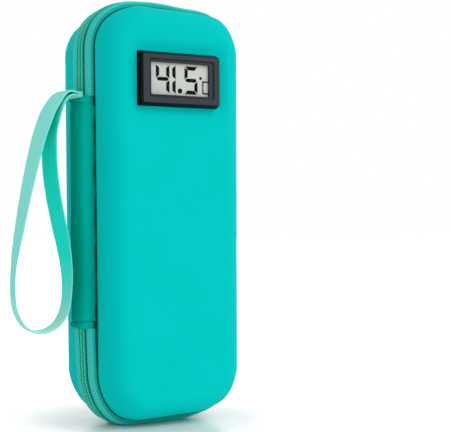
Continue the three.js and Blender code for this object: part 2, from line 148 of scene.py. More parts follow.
def add_node(material, kind, inputs=(), out=0, stops=(), **settings):
    """a node with its settings and a ramp's stops; its inputs, by name or number, are set or linked"""
    made = material.node_tree.nodes.new("ShaderNode" + kind)
    for _ in stops[2:]:
        made.color_ramp.elements.new(1.0)
    for number, (at, code) in enumerate(stops):
        made.color_ramp.elements[number].position = at
        made.color_ramp.elements[number].color = linear(code)
    for name, value in settings.items():
        setattr(made, name, value)
    for name, value in dict(inputs).items():
        if isinstance(value, bpy.types.NodeSocket):
            material.node_tree.links.new(value, made.inputs[name])
        else:
            made.inputs[name].default_value = value
    return made.outputs[out]


def waves(material, value, pitch):
    """a smooth wave of a value, from 0 to 1, one for each pitch"""
    turns = add_node(material, "Math", {0: value, 1: 2 * math.pi / pitch}, operation="MULTIPLY")
    sine = add_node(material, "Math", {0: turns}, operation="SINE")
    return add_node(material, "Math", {0: sine, 1: 0.5, 2: 0.5}, operation="MULTIPLY_ADD")


def woven_place(material):
    """where a point lies on the cloth: across it, above its middle and along it, in metres"""
    weave = add_node(material, "Attribute", out="Vector", attribute_name="weave")
    return add_node(material, "SeparateXYZ", {"Vector": weave}).node.outputs


def link(material, output, shader, name):
    """links an output to one of a shader's inputs"""
    material.node_tree.links.new(output, shader.inputs[name])


def show_pattern(material, shader, pattern, stops, strength=0, depth=0):
    """colours a material by a pattern and, given a strength, raises it by a depth as well"""
    tone = add_node(material, "ValToRGB", {"Fac": pattern}, stops=stops)
    link(material, tone, shader, "Base Color")
    if strength:
        bump = add_node(material, "Bump", {"Strength": strength, "Distance": depth, "Height": pattern})
        link(material, bump, shader, "Normal")


def edges_along(edges, axis, shortest):
    """the edges that run further than shortest along an axis, given as 0, 1 or 2 for X, Y or Z"""
    return [e for e in edges if abs(e.verts[0].co[axis] - e.verts[1].co[axis]) > shortest]


def make_piece(name, bm, material, body=None, replaced=(), sharp=40, weave=None):
    """an object from a bmesh, smooth but for its sharp edges; weave gives each point's place on the cloth"""
    mesh = bpy.data.meshes.new(name)
    bm.to_mesh(mesh)
    bm.free()
    mesh.shade_smooth()
    mesh.set_sharp_from_angle(angle=math.radians(sharp))
    if weave is not None:
        attribute = mesh.attributes.new("weave", "FLOAT_VECTOR", "POINT")
        attribute.data.foreach_set("vector", [c for place in weave for c in place])
    piece = bpy.data.objects.new(name, mesh)
    bpy.context.collection.objects.link(piece)
    mesh.materials.append(material)
    if body:
        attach(piece, body)
    if replaced:
        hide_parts(*replaced)
    return piece


# Dyed polyester grosgrain: matt, with fine ribs whose crests carry a painted highlight. Its outer face is
# pale all along; its inner face has light and shade painted on: teal painted shade, and pale painted
# light where the loop turns up. The ribs are drawn a third too coarse, to show.
grosgrain, shader = new_material("grosgrain_polyester", "84f0e2", roughness=0.75, specular_ior_level=0.02)
across, face, along = woven_place(grosgrain)
rib = waves(grosgrain, along, strap_rib)
warp = waves(grosgrain, across, strap_warp)
yarn = add_node(grosgrain, "Math", {0: rib, 1: warp}, operation="MULTIPLY")
share = add_node(grosgrain, "MapRange", {"Value": along, "From Max": shaded_length})
# inner face: saturated teal painted shade on the legs, pale painted light at the loop's foot and ends
inner_face_painted_light_and_shade = add_node(grosgrain, "ValToRGB", {"Fac": share}, stops=[
    (0.0, "a4fff2"), (0.05, "7af8ea"), (0.08, "00eedb"), (0.42, "5fe3d6"), (0.49, "b4f6ea"),
    (0.55, "bcf8ec"), (0.575, "a0f2e6"), (0.6, "76f0e4"), (0.63, "50efe0"), (0.68, "00f2df"),
    (0.93, "00eedb"), (1.0, "8cfaee")])
outer_face = add_node(grosgrain, "ValToRGB", {"Fac": share}, stops=[
    (0.0, "8cf6ea"), (0.4, "86f4e8"), (0.5, "a8f6ea")])
inside = add_node(grosgrain, "Math", {0: face, 1: 0.0}, operation="GREATER_THAN")
faces_with_painted_light_and_shade = add_node(grosgrain, "MixRGB", {"Fac": inside, "Color1": outer_face, "Color2": inner_face_painted_light_and_shade})
# the ribs' crests are painted paler as a highlight, more on the outer face than on the inner
painted_rib_highlight_share = add_node(grosgrain, "MapRange", {"Value": inside, "To Min": 0.4, "To Max": 0.12})
painted_rib_highlight = add_node(grosgrain, "Math", {0: yarn, 1: painted_rib_highlight_share}, operation="MULTIPLY")
ribbed = add_node(grosgrain, "MixRGB", {"Fac": painted_rib_highlight, "Color1": faces_with_painted_light_and_shade, "Color2": linear("cffff8")})
link(grosgrain, ribbed, shader, "Base Color")
bump = add_node(grosgrain, "Bump", {"Strength": 0.4, "Distance": 0.15 * mm, "Height": yarn})
link(grosgrain, bump, shader, "Normal")

strap_points = curve_through([Vector(place) * mm for place in strap_route], 12)
strap_rings = 2 * round(even_line(strap_points, 1)[1] / strap_rib)
strap_line, strap_length = even_line(strap_points, strap_rings)
turn_line = curve_through([Vector((percent, degrees, 0)) for percent, degrees in strap_turn], 6)
bm = bmesh.new()
bmesh.ops.create_cone(bm, cap_ends=True, segments=20, radius1=1, radius2=1, depth=1)
bmesh.ops.subdivide_edges(bm, edges=edges_along(bm.edges, 2, 0.5), cuts=strap_rings - 1)
turns = [math.radians(height_on(turn_line, 100 * ring / strap_rings)) for ring in range(strap_rings + 1)]
strap_weave = []
for vert in bm.verts:
    ring = round((vert.co.z + 0.5) * strap_rings)
    here = strap_line[ring]
    ahead = (strap_line[min(ring + 1, strap_rings)] - strap_line[max(ring - 1, 0)]).normalized()
    crest = 1 if ring % 2 else 0
    sideways = Vector((math.sin(turns[ring]), math.cos(turns[ring]), 0))
    sideways = (sideways - ahead * ahead.dot(sideways)).normalized()
    inward = ahead.cross(sideways)
    edge, flat = vert.co.x, vert.co.y
    half = strap_width / 2 - edge_notch * (1 - crest)
    x = math.copysign(abs(edge) ** edge_shape, edge) * half
    y = math.copysign(abs(flat) ** face_shape, flat) * strap_thickness / 2 * (1 - rib_depth * (1 - crest))
    vert.co = here + sideways * x + inward * y
    strap_weave.append((x, y, ring / strap_rings * strap_length))
bmesh.ops.recalc_face_normals(bm, faces=bm.faces)
strap = make_piece("wrist_strap_webbing", bm, grosgrain, replaced=["wrist_strap"],
                   sharp=80, weave=strap_weave)
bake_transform(strap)


# Strap ends: the tape's two ends lie on each other over the spine's upper fold and are sewn down through it.
# Each is cut square, and two rows of lock stitches run across both.
end_layers = ((171.6, 173.0), (173.05, 174.4))  # the underside and the top of each, in mm
end_stitch = Vector((0.65, 0.2, 0.15)) * mm


def round_edges(bm, edges, radius, segments):
    """rounds edges over, as moulding, wear or a fold leaves them"""
    bmesh.ops.bevel(bm, geom=edges, offset=radius, segments=segments, profile=0.5,
                    affect="EDGES", material=-1, clamp_overlap=True)


def edges_of(verts):
    """the edges that start or end at some points"""
    return list({e for v in verts for e in v.link_edges})


def rounded_block(bm, low, high, radius, segments=2):
    """a block between two corners, with all its edges rounded"""
    made = bmesh.ops.create_cube(bm, size=1)["verts"]
    bmesh.ops.scale(bm, verts=made, vec=[b - a for a, b in zip(low, high)])
    bmesh.ops.translate(bm, verts=made, vec=[(a + b) / 2 for a, b in zip(low, high)])
    round_edges(bm, edges_of(made), radius, segments)


def add_stitch(bm, middle, turn, size):
    """a small rounded stitch, kept above the floor; turn holds the directions of its three sizes"""
    for vert in bmesh.ops.create_icosphere(bm, subdivisions=1, radius=1)["verts"]:
        vert.co = middle + turn @ (vert.co * size)
        vert.co.z = max(vert.co.z, 0)


def stitch_row(bm, start, end, pitch, size, outward):
    """stitches in a straight row, each lying along it"""
    run = end - start
    along = run.normalized()
    side = outward.cross(along)
    turn = Matrix((along, side, outward)).transposed()
    for index in range(int(run.length / pitch)):
        add_stitch(bm, start + along * (index + 0.5) * pitch, turn, size)


# Polyester sewing thread: pale and slightly glossy. Its twist shows only as soft patches of two tones.
thread, shader = new_material("polyester_thread", "a8f4e6", roughness=0.6, specular_ior_level=0.05)
coords = add_node(thread, "TexCoord", out="Object")
twist = add_node(thread, "TexNoise", {"Vector": coords, "Scale": 1 / (0.4 * mm)})
show_pattern(thread, shader, twist, [(0.3, "3fe8cc"), (0.7, "86f8e4")])

bm = bmesh.new()
for low, high in end_layers:
    rounded_block(bm, (-47.1 * mm, -6.5 * mm, low * mm), (-44.6 * mm, 8.5 * mm, high * mm), 0.4 * mm, 3)
end_weave = [(v.co.y, -1, v.co.x + 47 * mm) for v in bm.verts]  # -1, as only the tape's outer face shows
make_piece("strap_end_layers", bm, grosgrain, "spine", ["strap_tab"], sharp=60, weave=end_weave)
bm = bmesh.new()
for x in (-46.4, -45.3):
    stitch_row(bm, Vector((x, -6, 174.4)) * mm, Vector((x, 8, 174.4)) * mm, 1.6 * mm, end_stitch,
               Vector((0, 0, 1)))
make_piece("strap_end_stitches", bm, thread, "spine", sharp=80)


# Shells: sheets of 3 mm closed-cell foam with stretch polyester laminated outside, pressed hot in a mould.
# The cloth is turned in over each rim, and the front shell has a punched hole for the display.
shell_width = 82.2 * mm
shell_height = 216.8 * mm
shell_low = 3.66 * mm
corner_radius = 24 * mm
shell_wall = 3 * mm
rim_round = 1.2 * mm
band_half = 12.4 * mm
corner_fall = 1.5 * mm
hole_half = Vector((22.9 * mm, 0, 13.2 * mm))
display_middle = 180.66 * mm
bezel_half = (24 * mm, 14.3 * mm)
dip_depth = 1.4 * mm
dip_reach = 7.5 * mm
dip_cuts = (1.1, 2.2, 3.4, 4.8, 6.4, 8.4)  # how far from the hole the face is cut so that it can bend, in mm
outer_face_from = 0.95  # as a share of the shell's depth
foot_narrowing = 0.024  # as a share of the width
# the heights at which the outline starts to change and has changed: its width, its top and its foot
narrow_zone, top_zone, foot_zone = (46 * mm, 22 * mm), (196 * mm, 216 * mm), (24 * mm, 4 * mm)
# side, name, depth, edge rounding, draft of the walls
halves = ((-1, "front", 15.6 * mm, 11 * mm, 0.5 * mm), (1, "back", 17.1 * mm, 8 * mm, 0.36 * mm))


def edges_in_plane(bm, y):
    """the edges that lie in one plane across the depth of the case"""
    return [e for e in bm.edges if all(abs(v.co.y - y) < 0.01 * mm for v in e.verts)]


def faces_in_plane(bm, y):
    """the faces that lie in one plane across the depth of the case"""
    return [f for f in bm.faces if all(abs(v.co.y - y) < 0.01 * mm for v in f.verts)]


def drawn_out(bm, faces, move):
    """extrudes faces by a move and gives what that makes"""
    made = bmesh.ops.extrude_face_region(bm, geom=faces)["geom"]
    bmesh.ops.translate(bm, verts=[v for v in made if isinstance(v, bmesh.types.BMVert)], vec=move)
    return made


def pushed_in(bm, faces, depth):
    """sinks faces into a block and gives the floor of the pit"""
    made = drawn_out(bm, faces, (0, depth, 0))
    bmesh.ops.delete(bm, geom=faces, context="FACES_ONLY")
    return [f for f in made if isinstance(f, bmesh.types.BMFace)]


def moulded_half(side, depth, edge, inset, wall, lip):
    """a tray: an outer block with rounded corners, hollowed from its seam side"""
    bm = bmesh.new()
    bmesh.ops.create_cube(bm, size=1)
    size = (shell_width - 2 * inset, depth - inset, shell_height - 2 * inset)
    bmesh.ops.scale(bm, verts=bm.verts, vec=size)
    middle = (0, side * (band_half + (depth - inset) / 2), shell_low + shell_height / 2)
    bmesh.ops.translate(bm, verts=bm.verts, vec=middle)
    round_edges(bm, edges_along(bm.edges, 1, depth / 3), corner_radius - inset, 20)
    outside = side * (band_half + depth - inset)
    seam = side * band_half
    round_edges(bm, edges_in_plane(bm, outside), edge - inset, 10)
    if lip:
        round_edges(bm, edges_in_plane(bm, seam), lip, 4)
    mouth = faces_in_plane(bm, seam)
    bmesh.ops.inset_region(bm, faces=mouth, thickness=wall - lip)
    inside = outside - side * wall
    pushed_in(bm, mouth, inside - seam)
    round_edges(bm, edges_in_plane(bm, inside), edge - inset - wall, 8)
    bmesh.ops.recalc_face_normals(bm, faces=bm.faces)
    return bm


def cut_face(bm, level, reach):
    """cuts one flat face of a wall straight across, beside the display's hole, on its four sides"""
    for direction, place in (((1, 0, 0), hole_half.x), ((-1, 0, 0), hole_half.x),
                             ((0, 0, 1), hole_half.z), ((0, 0, -1), hole_half.z)):
        normal = Vector(direction)
        faces = faces_in_plane(bm, level)
        near = {v for f in faces for v in f.verts} | {e for f in faces for e in f.edges}
        bmesh.ops.bisect_plane(bm, geom=faces + list(near), plane_no=normal,
                               plane_co=Vector((0, level, display_middle)) + normal * (place + reach))


def punch_hole(bm, outside, inside):
    """cuts both faces of a wall round the display's hole and joins the two cuts"""
    gone = []
    for level in (outside, inside):
        cut_face(bm, level, 0)
        for face in faces_in_plane(bm, level):
            middle = face.calc_center_median()
            if abs(middle.x) < hole_half.x and abs(middle.z - display_middle) < hole_half.z:
                gone.append(face)
    bmesh.ops.delete(bm, geom=gone, context="FACES")
    bmesh.ops.bridge_loops(bm, edges=[e for e in bm.edges if e.is_boundary])
    bmesh.ops.recalc_face_normals(bm, faces=bm.faces)


def drawn_line(*places):
    """a line of points given in mm as (place across, height)"""
    return [Vector((*place, 0)) * mm for place in places]


# how far the top falls and the foot rises, from the left to the right of the case
top_fall = curve_through(drawn_line(
    (-41, 0.4), (-35, 1), (-27, 1.5), (-17, 1.1), (-6, 0.6), (2, 0.9), (10, 1.7), (18, 2.3), (24, 1.6),
    (29, 0.3), (34, -0.5), (38, -0.5)), 4)
foot_rise = curve_through(drawn_line(
    (-41, 0), (-36, -0.8), (-30, -1.2), (-24, -0.6), (-17, 0), (8, 0), (14, 0.6), (18, 1.4), (23, 2),
    (28, 1.5), (34, 0.3), (38, 0)), 4)


def share_between(value, start, end):
    """0 up to the start, 1 from the end on, and even between them"""
    return min(max((value - start) / (end - start), 0), 1)


def uneven_outline(x, z):
    """the hand-made outline: it narrows a little to its foot, and its top and foot aren't quite flat"""
    narrow, top, foot = (share_between(z, *zone) for zone in (narrow_zone, top_zone, foot_zone))
    return (x * (1 - foot_narrowing * narrow),
            z - height_on(top_fall, x) * top + height_on(foot_rise, x) * foot)


def settle(bm, side, depth, draft):
    """the pressed shape: walls drawn in, most at the corners, and the front dipping to the bezel"""
    flat = shell_width / 2 - corner_radius
    low, high = shell_low + corner_radius, shell_low + shell_height - corner_radius
    for vert in bm.verts:
        x, y, z = vert.co
        away = Vector((x - max(-flat, min(x, flat)), 0, z - max(low, min(z, high))))
        share = (abs(y) - band_half) / depth
        if away.length > 0.01 * mm:
            corner = 2 * abs(away.x * away.z) / away.length_squared
            vert.co -= away / corner_radius * (draft * share + corner_fall * corner * share * share)
        if side < 0 and share > outer_face_from:
            beside = max(abs(x) - bezel_half[0], 0), max(abs(z - display_middle) - bezel_half[1], 0)
            off = share_between(math.hypot(*beside), 0, dip_reach)
            vert.co.y += dip_depth * (1 - off * off * (3 - 2 * off))
        vert.co.x, vert.co.z = uneven_outline(vert.co.x, vert.co.z)


# Stretch polyester over foam: an even, saturated colour with a low soft sheen.
# Its knit is 0.25 mm fine and drawn at twice that, and the foam under it leaves the faintest unevenness.
laminate, shader = new_material("stretch_polyester_laminate", "00c8c3", roughness=0.6,
                                specular_ior_level=0.02)
coords = add_node(laminate, "TexCoord", out="Object")
knit = add_node(laminate, "TexNoise", {"Vector": coords, "Scale": 1 / (0.5 * mm), "Roughness": 0.6})
foam = add_node(laminate, "TexNoise", {"Vector": coords, "Scale": 1 / (28 * mm), "Detail": 1.0,
                                       "Roughness": 0.4})
show_pattern(laminate, shader, foam, [(0.2, "00c7c2"), (0.8, "00cbc6")])
uneven = add_node(laminate, "Bump", {"Strength": 0.2, "Distance": 0.5 * mm, "Height": foam})
fine = add_node(laminate, "Bump", {"Strength": 0.12, "Distance": 0.08 * mm, "Height": knit,
                                   "Normal": uneven})
link(laminate, fine, shader, "Normal")

for side, name, depth, edge, draft in halves:
    bm = moulded_half(side, depth, edge, 0, shell_wall, rim_round)
    if side < 0:
        outside = -(band_half + depth)
        punch_hole(bm, outside, outside + shell_wall)
        for reach in dip_cuts:
            cut_face(bm, outside, reach * mm)
    settle(bm, side, depth, draft)
    make_piece(f"{name}_shell_laminate", bm, laminate, f"{name}_half", [f"{name}_shell"],
               sharp=50)


# Liners: an aluminised film on thin foam, pressed into each shell and glued, to keep the cold in.
# The film is smooth metal, crinkled where it was pushed into the corners.
liner_inset = 3.3 * mm
liner_wall = 0.8 * mm
foil, shader = new_material("aluminised_film", "c9ccd0", metallic=0.75, roughness=0.32)
coords = add_node(foil, "TexCoord", out="Object")
crinkle = add_node(foil, "TexVoronoi", {"Vector": coords, "Scale": 1 / (7 * mm)},
                   feature="DISTANCE_TO_EDGE")
crease = add_node(foil, "MapRange", {"Value": crinkle, "From Max": 0.18})
ripple = add_node(foil, "TexNoise", {"Vector": coords, "Scale": 1 / (3 * mm), "Detail": 3.0})
height = add_node(foil, "Math", {0: crease, 1: ripple}, operation="ADD")
show_pattern(foil, shader, ripple, [(0.3, "bfc3c8"), (0.7, "d6d9dc")])
bump = add_node(foil, "Bump", {"Strength": 0.35, "Distance": 0.5 * mm, "Height": height})
link(foil, bump, shader, "Normal")
for side, name, depth, edge, draft in halves:
    bm = moulded_half(side, depth, edge, liner_inset, liner_wall, 0)
    if side < 0:
        outside = -(band_half + depth - liner_inset)
        punch_hole(bm, outside, outside + liner_wall)
    settle(bm, 0, depth, draft)  # side 0, because a liner doesn't dip round the display
    make_piece(f"{name}_liner_film", bm, foil, f"{name}_half", [f"{name}_liner"], sharp=50)


# Zip tapes: 12 mm woven polyester tape, sewn to each shell's turned-in rim and running right round the case.
# Each stands proud of the shell as a soft rib, which swells at the top and foot of the case.
half_width = shell_width / 2
shell_high = shell_low + shell_height
tape_start = 171.2 * mm
tape_end = 53 * mm
ring_step = 2.2 * mm
end_swell = 2.2  # how many times as high the rib is at the case's top and foot
herringbone_width = 1.8 * mm
herringbone_pitch = 1.4 * mm
tape_run = (shell_high - corner_radius - tape_start + 2 * math.pi * corner_radius
            + 4 * (half_width - corner_radius) + shell_height - 2 * corner_radius
            + tape_end - shell_low - corner_radius)
# distance from the zip's middle and rise over the shell, in mm
tape_section = [
    (12.2, -0.6), (12.05, 0), (11.6, 0.5), (11, 0.95), (10.3, 1.3), (9.4, 1.6), (8.4, 1.74), (7.2, 1.8),
    (6.1, 1.8), (5.3, 1.72), (4.8, 1.55), (4.5, 1.25), (4.1, 1.1), (3.5, 1.05), (3.1, 1.05), (2.9, 0.95),
    (0.5, 0.95), (0.5, 0.4), (10.2, 0.4), (11.4, -0.6),
]


def outline_at(run):
    """a place on the shells' outline and its outward direction, clockwise from the spine panel's top"""
    flat = half_width - corner_radius
    low, high = shell_low + corner_radius, shell_high - corner_radius
    corners = [(-flat, high, 180, high - tape_start), (flat, high, 90, 2 * flat),
               (flat, low, 0, high - low), (-flat, low, -90, 2 * flat)]
    for x, z, degrees, straight in corners:
        angle = math.radians(degrees)
        if run > straight:
            angle -= min((run - straight) / corner_radius, math.pi / 2)
        outward = Vector((math.cos(angle), 0, math.sin(angle)))
        forward = Vector((outward.z, 0, -outward.x))
        ahead = min(run - straight, 0)
        run -= straight + corner_radius * math.pi / 2
        if run <= 0:
            break
    else:
        ahead = run
    place = Vector((x, 0, z)) + outward * corner_radius + forward * ahead
    drawn, place.z = uneven_outline(place.x, place.z)
    place.x = max(place.x, drawn)  # the sliders' side stays straight for their run
    return place, outward, forward


def swollen(outward):
    """how many times as high the rib is where the outline faces outward"""
    return 1 + (end_swell - 1) * outward.z ** 2


def band_round(section, side):
    """a section carried round the case, and each point's place on the cloth"""
    bm = bmesh.new()
    start = bm.faces.new([bm.verts.new((rise * mm, side * width * mm, 0)) for width, rise in section])
    drawn_out(bm, [start], (0, 0, tape_run))
    long_edges = edges_along(bm.edges, 2, tape_run / 2)
    bmesh.ops.subdivide_edges(bm, edges=long_edges, cuts=round(tape_run / ring_step))
    weave = []
    for vert in bm.verts:
        rise, y, run = vert.co
        weave.append((abs(y), rise, run))
        place, outward, _ = outline_at(run)
        vert.co = place + outward * rise * swollen(outward) + Vector((0, y, 0))
        vert.co.z = max(vert.co.z, 0)
    bmesh.ops.recalc_face_normals(bm, faces=bm.faces)
    return bm, weave


# Woven polyester tape: matt and pale, in a herringbone, drawn half as coarse again as a real one to show.
# Close to the coil it is drawn darker green, and in the seam a painted shade darkens it.
zip_tape, shader = new_material("woven_zip_tape", "5cc9bd", roughness=0.8, specular_ior_level=0.02)
width, _, run = woven_place(zip_tape)
zigzag = add_node(zip_tape, "Math", {0: width, 1: herringbone_width}, operation="PINGPONG")
slanted = add_node(zip_tape, "Math", {0: run, 1: zigzag}, operation="ADD")
herringbone = waves(zip_tape, slanted, herringbone_pitch)
mint = add_node(zip_tape, "ValToRGB", {"Fac": herringbone}, stops=[(0.1, "10b0a6"), (0.9, "5ceade")])
share = add_node(zip_tape, "MapRange", {"Value": width, "From Max": band_half})
zones = add_node(zip_tape, "ValToRGB", {"Fac": share}, stops=[
    (0.37, "000000"), (0.43, "ffffff"), (0.84, "ffffff"), (0.89, "000000")])
# darker green by the coil; the darkest stop, at the tape's outer edge, is painted shade in the seam
green_with_painted_seam_shade = add_node(zip_tape, "ValToRGB", {"Fac": share}, stops=[
    (0.0, "0aa58b"), (0.5, "0aa58b"), (0.94, "16b3a4"), (0.97, "06584e")])
cloth = add_node(zip_tape, "MixRGB", {"Fac": zones, "Color1": green_with_painted_seam_shade, "Color2": mint})
link(zip_tape, cloth, shader, "Base Color")
relief = add_node(zip_tape, "Math", {0: herringbone, 1: zones}, operation="MULTIPLY")
bump = add_node(zip_tape, "Bump", {"Strength": 0.6, "Distance": 0.2 * mm, "Height": relief})
link(zip_tape, bump, shader, "Normal")
for side, name, *_ in halves:
    bm, weave = band_round(tape_section, side)
    make_piece(f"{name}_zip_tape_cloth", bm, zip_tape, f"{name}_half", [f"{name}_zip_tape"],
               sharp=50, weave=weave)


# Zip coil: a nylon spiral on each tape's edge, turned inwards, so that outside only its back shows.
# A smooth ribbon covers the turns, which reach across the middle and hold each other; the sewing thread over
# each turn shows as a row of pale dots.
coil_pitch = 1.12 * mm
# distance from the zip's middle, rise over the shell and the three sizes of one stitch or turn, in mm
coil_threads = ((1.55, 1.95, (0.3, 0.95, 0.38)), (4.75, 1.55, (0.2, 0.3, 0.42)))
coil_turn = (0.9, 1.2, (0.4, 1.25, 0.28))
coil_section = [(2.8, 1.3), (2.8, 1.75), (2.5, 1.95), (1.0, 1.95), (0.6, 1.85), (0.4, 1.6), (0.4, 1.3)]
# Drawn nylon: half matt, a fuller green than the tape, ringed by its turns.
nylon, shader = new_material("nylon_coil", "17a491", roughness=0.5, specular_ior_level=0.05)
turns = waves(nylon, woven_place(nylon)[2], coil_pitch)
show_pattern(nylon, shader, turns, [(0.0, "009a84"), (1.0, "10bea4")], 0.5, 0.25 * mm)


def stitches_round(bm, side, width, rise, size, first=0.5):
    """a row of rounded stitches, one for each turn of the coil and each lying across the band"""
    for index in range(int(tape_run / coil_pitch)):
        place, outward, forward = outline_at((index + first) * coil_pitch)
        turn = Matrix((outward, Vector((0, 1, 0)), forward)).transposed()
        middle = place + outward * rise * mm * swollen(outward) + Vector((0, side * width * mm, 0))
        add_stitch(bm, middle, turn, Vector(size) * mm)


for side, name, *_ in halves:
    bm, weave = band_round(coil_section, side)
    make_piece(f"{name}_coil_ribbon", bm, nylon, f"{name}_half", [f"{name}_zip_coil"],
               sharp=50, weave=weave)
    bm = bmesh.new()
    for row in coil_threads:
        stitches_round(bm, side, *row)
    make_piece(f"{name}_coil_stitches", bm, thread, f"{name}_half", sharp=80)
    bm = bmesh.new()
    stitches_round(bm, side, *coil_turn, first=0.25 + (side > 0) / 2)
    # one place on the weave for all, so that the turns take the ribbon's darkest tone as painted shade
    # between the ribbons
    make_piece(f"{name}_coil_turns", bm, nylon, f"{name}_half", sharp=80,
               weave=[(1, 1, 0.75 * coil_pitch)] * len(bm.verts))


# Edge binding: a folded strip of woven tape, sewn over the raw edges inside each half.
# It is matt and dark, with a rib across it.
binding_section = [(12.1, -3.9), (12.1, -1.1), (11.9, -0.9), (10.8, -0.9), (10.6, -1.1), (10.6, -3.9)]
binding, shader = new_material("woven_binding", "17857c", roughness=0.85, specular_ior_level=0.15)
ribs = waves(binding, woven_place(binding)[2], 0.7 * mm)
show_pattern(binding, shader, ribs, [(0.0, "0f6f67"), (1.0, "1f958b")], 0.5, 0.15 * mm)
for side, name, *_ in halves:
    bm, weave = band_round(binding_section, side)
    make_piece(f"{name}_edge_binding_tape", bm, binding, f"{name}_half",
               [f"{name}_edge_binding"], sharp=50, weave=weave)


# Spine: a strip of soft synthetic leather over thin foam, sewn to both shells, so that the case opens there.
# Its two ends are turned over as flat folds that hide the ends of the zip tapes; they lie a little askew.
spine_under = 0.8 * mm
spine_half = 12.5 * mm
fold_gap = Vector((0, 0.25 * mm, 0))
# how far the panel and the folds stand out, from the front of the spine to its back
panel_crown = drawn_line(
    (-11.8, -0.3), (-11.6, 0.4), (-10.9, 0.9), (-9.5, 1.25), (-6, 1.8), (0, 2.7), (6, 3.1), (9.5, 3.0),
    (11.6, 2.5), (12.4, 1.6), (12.6, 0.5))
fold_crown = drawn_line(
    (-12, 0.2), (-11.3, 1.3), (-9, 2.15), (-6, 2.5), (0, 3.15), (6, 3.5), (9.5, 3.4), (11.6, 3), (12.4, 2.1),
    (12.6, 0.9))
# how high the folds' edges lie, from the front of the spine to its back
upper_top = drawn_line((-12.6, 171.9), (-4, 173.1), (9, 174), (12.6, 173.8))
upper_crease = drawn_line((-12.6, 166.8), (-9, 168.2), (-3, 169.4), (3, 169.9), (12.6, 169.9))
lower_crease = drawn_line((-12.6, 55.9), (-6, 55.4), (0, 54.5), (9, 54.2), (12.6, 54.4))
lower_foot = drawn_line((-12.6, 52), (-4, 51.4), (9, 51.3), (12.6, 51.6))
# how high the leather's soft waves are, and how long across it and along it; and the same for its edges
leather_waves = (0.2 * mm, 9 * mm, 15 * mm)
edge_waves = (0.25 * mm, 8 * mm)
end_rounding = 0.8  # how far round the strips' ends are turned, 1 being a full quarter round


def spine_strip(outside, low_line, high_line, steps, tuck, seed):
    """a crowned strip on the case's left side between two lines across it, its ends rounded off by tuck"""
    outer = curve_through(outside, 3)
    bm = bmesh.new()
    corners = [(-half_width + spine_under, outer[0].x), *[(-half_width - p.y, p.x) for p in outer],
               (-half_width + spine_under, outer[-1].x)]
    drawn_out(bm, [bm.faces.new([bm.verts.new((x, y, 0)) for x, y in corners])], (0, 0, 1))
    bmesh.ops.subdivide_edges(bm, edges=edges_along(bm.edges, 2, 0.5), cuts=steps)
    for vert in bm.verts:
        x, y, share = vert.co
        low, high = height_on(low_line, y), height_on(high_line, y)
        z = low + (high - low) * share
        end = min(z - low, high - z)
        if x < -half_width + spine_under / 2:
            rise, wide, tall = leather_waves
            x -= rise * noise.noise(Vector((y / wide, seed, z / tall)))
            if end < tuck:
                x += tuck * (1 - math.sqrt(1 - (1 - end / tuck) ** 2)) * end_rounding
        rise, tall = edge_waves
        y += rise * noise.noise(Vector((seed, z / tall, 0))) * abs(y) / (12 * mm)
        vert.co = (x, y, z)
    bmesh.ops.recalc_face_normals(bm, faces=bm.faces)
    return bm


# Polyurethane leather: smooth, with a pore of a third of a millimetre that is drawn twice as coarse to show.
# Light and shade are painted across it: it is palest along its crown, where the light falls, darker
# towards its back but for a paler back edge, and dark with painted shade in the seam along its front.
leather, shader = new_material("polyurethane_leather", "00a698", roughness=0.5, specular_ior_level=0.0)
coords = add_node(leather, "TexCoord", out="Object")
pores = add_node(leather, "TexVoronoi", {"Vector": coords, "Scale": 1 / (0.7 * mm)})
clouds = add_node(leather, "TexNoise", {"Vector": coords, "Scale": 1 / (14 * mm)})
y = add_node(leather, "SeparateXYZ", {"Vector": coords}, out="Y")
back = add_node(leather, "MapRange", {"Value": y, "From Min": -spine_half, "From Max": spine_half})
# painted light and shade across the spine, from its front seam to its back
painted_light_and_shade = add_node(leather, "ValToRGB", {"Fac": back}, stops=[
    (0.026, "003a34"), (0.034, "009686"), (0.1, "00b6a8"), (0.3, "00cebd"), (0.55, "00ae9f"),
    (0.82, "009383"), (0.91, "008878"), (1.0, "00b3a8")])
shade = add_node(leather, "MapRange", {"Value": clouds, "To Min": 0.94, "To Max": 1.06})
shade = add_node(leather, "CombineXYZ", {0: shade, 1: shade, 2: shade})
tone = add_node(leather, "VectorMath", {0: painted_light_and_shade, 1: shade}, operation="MULTIPLY")
link(leather, tone, shader, "Base Color")
bump = add_node(leather, "Bump", {"Strength": 0.15, "Distance": 0.1 * mm, "Height": pores})
link(leather, bump, shader, "Normal")
for name, node, outside, low_line, high_line, steps, tuck in (
        ("spine_leather_panel", "spine_panel", panel_crown, [place + fold_gap for place in lower_crease],
         [place - fold_gap for place in upper_crease], 60, 0.5 * mm),
        ("spine_upper_turned_end", "spine_upper_fold", fold_crown, upper_crease, upper_top, 11, 0.9 * mm),
        ("spine_lower_turned_end", "spine_lower_fold", fold_crown, lower_foot, lower_crease, 11, 0.9 * mm)):
    make_piece(name, spine_strip(outside, low_line, high_line, steps, tuck, low_line[0].y / mm), leather,
               "spine", [node], sharp=70)

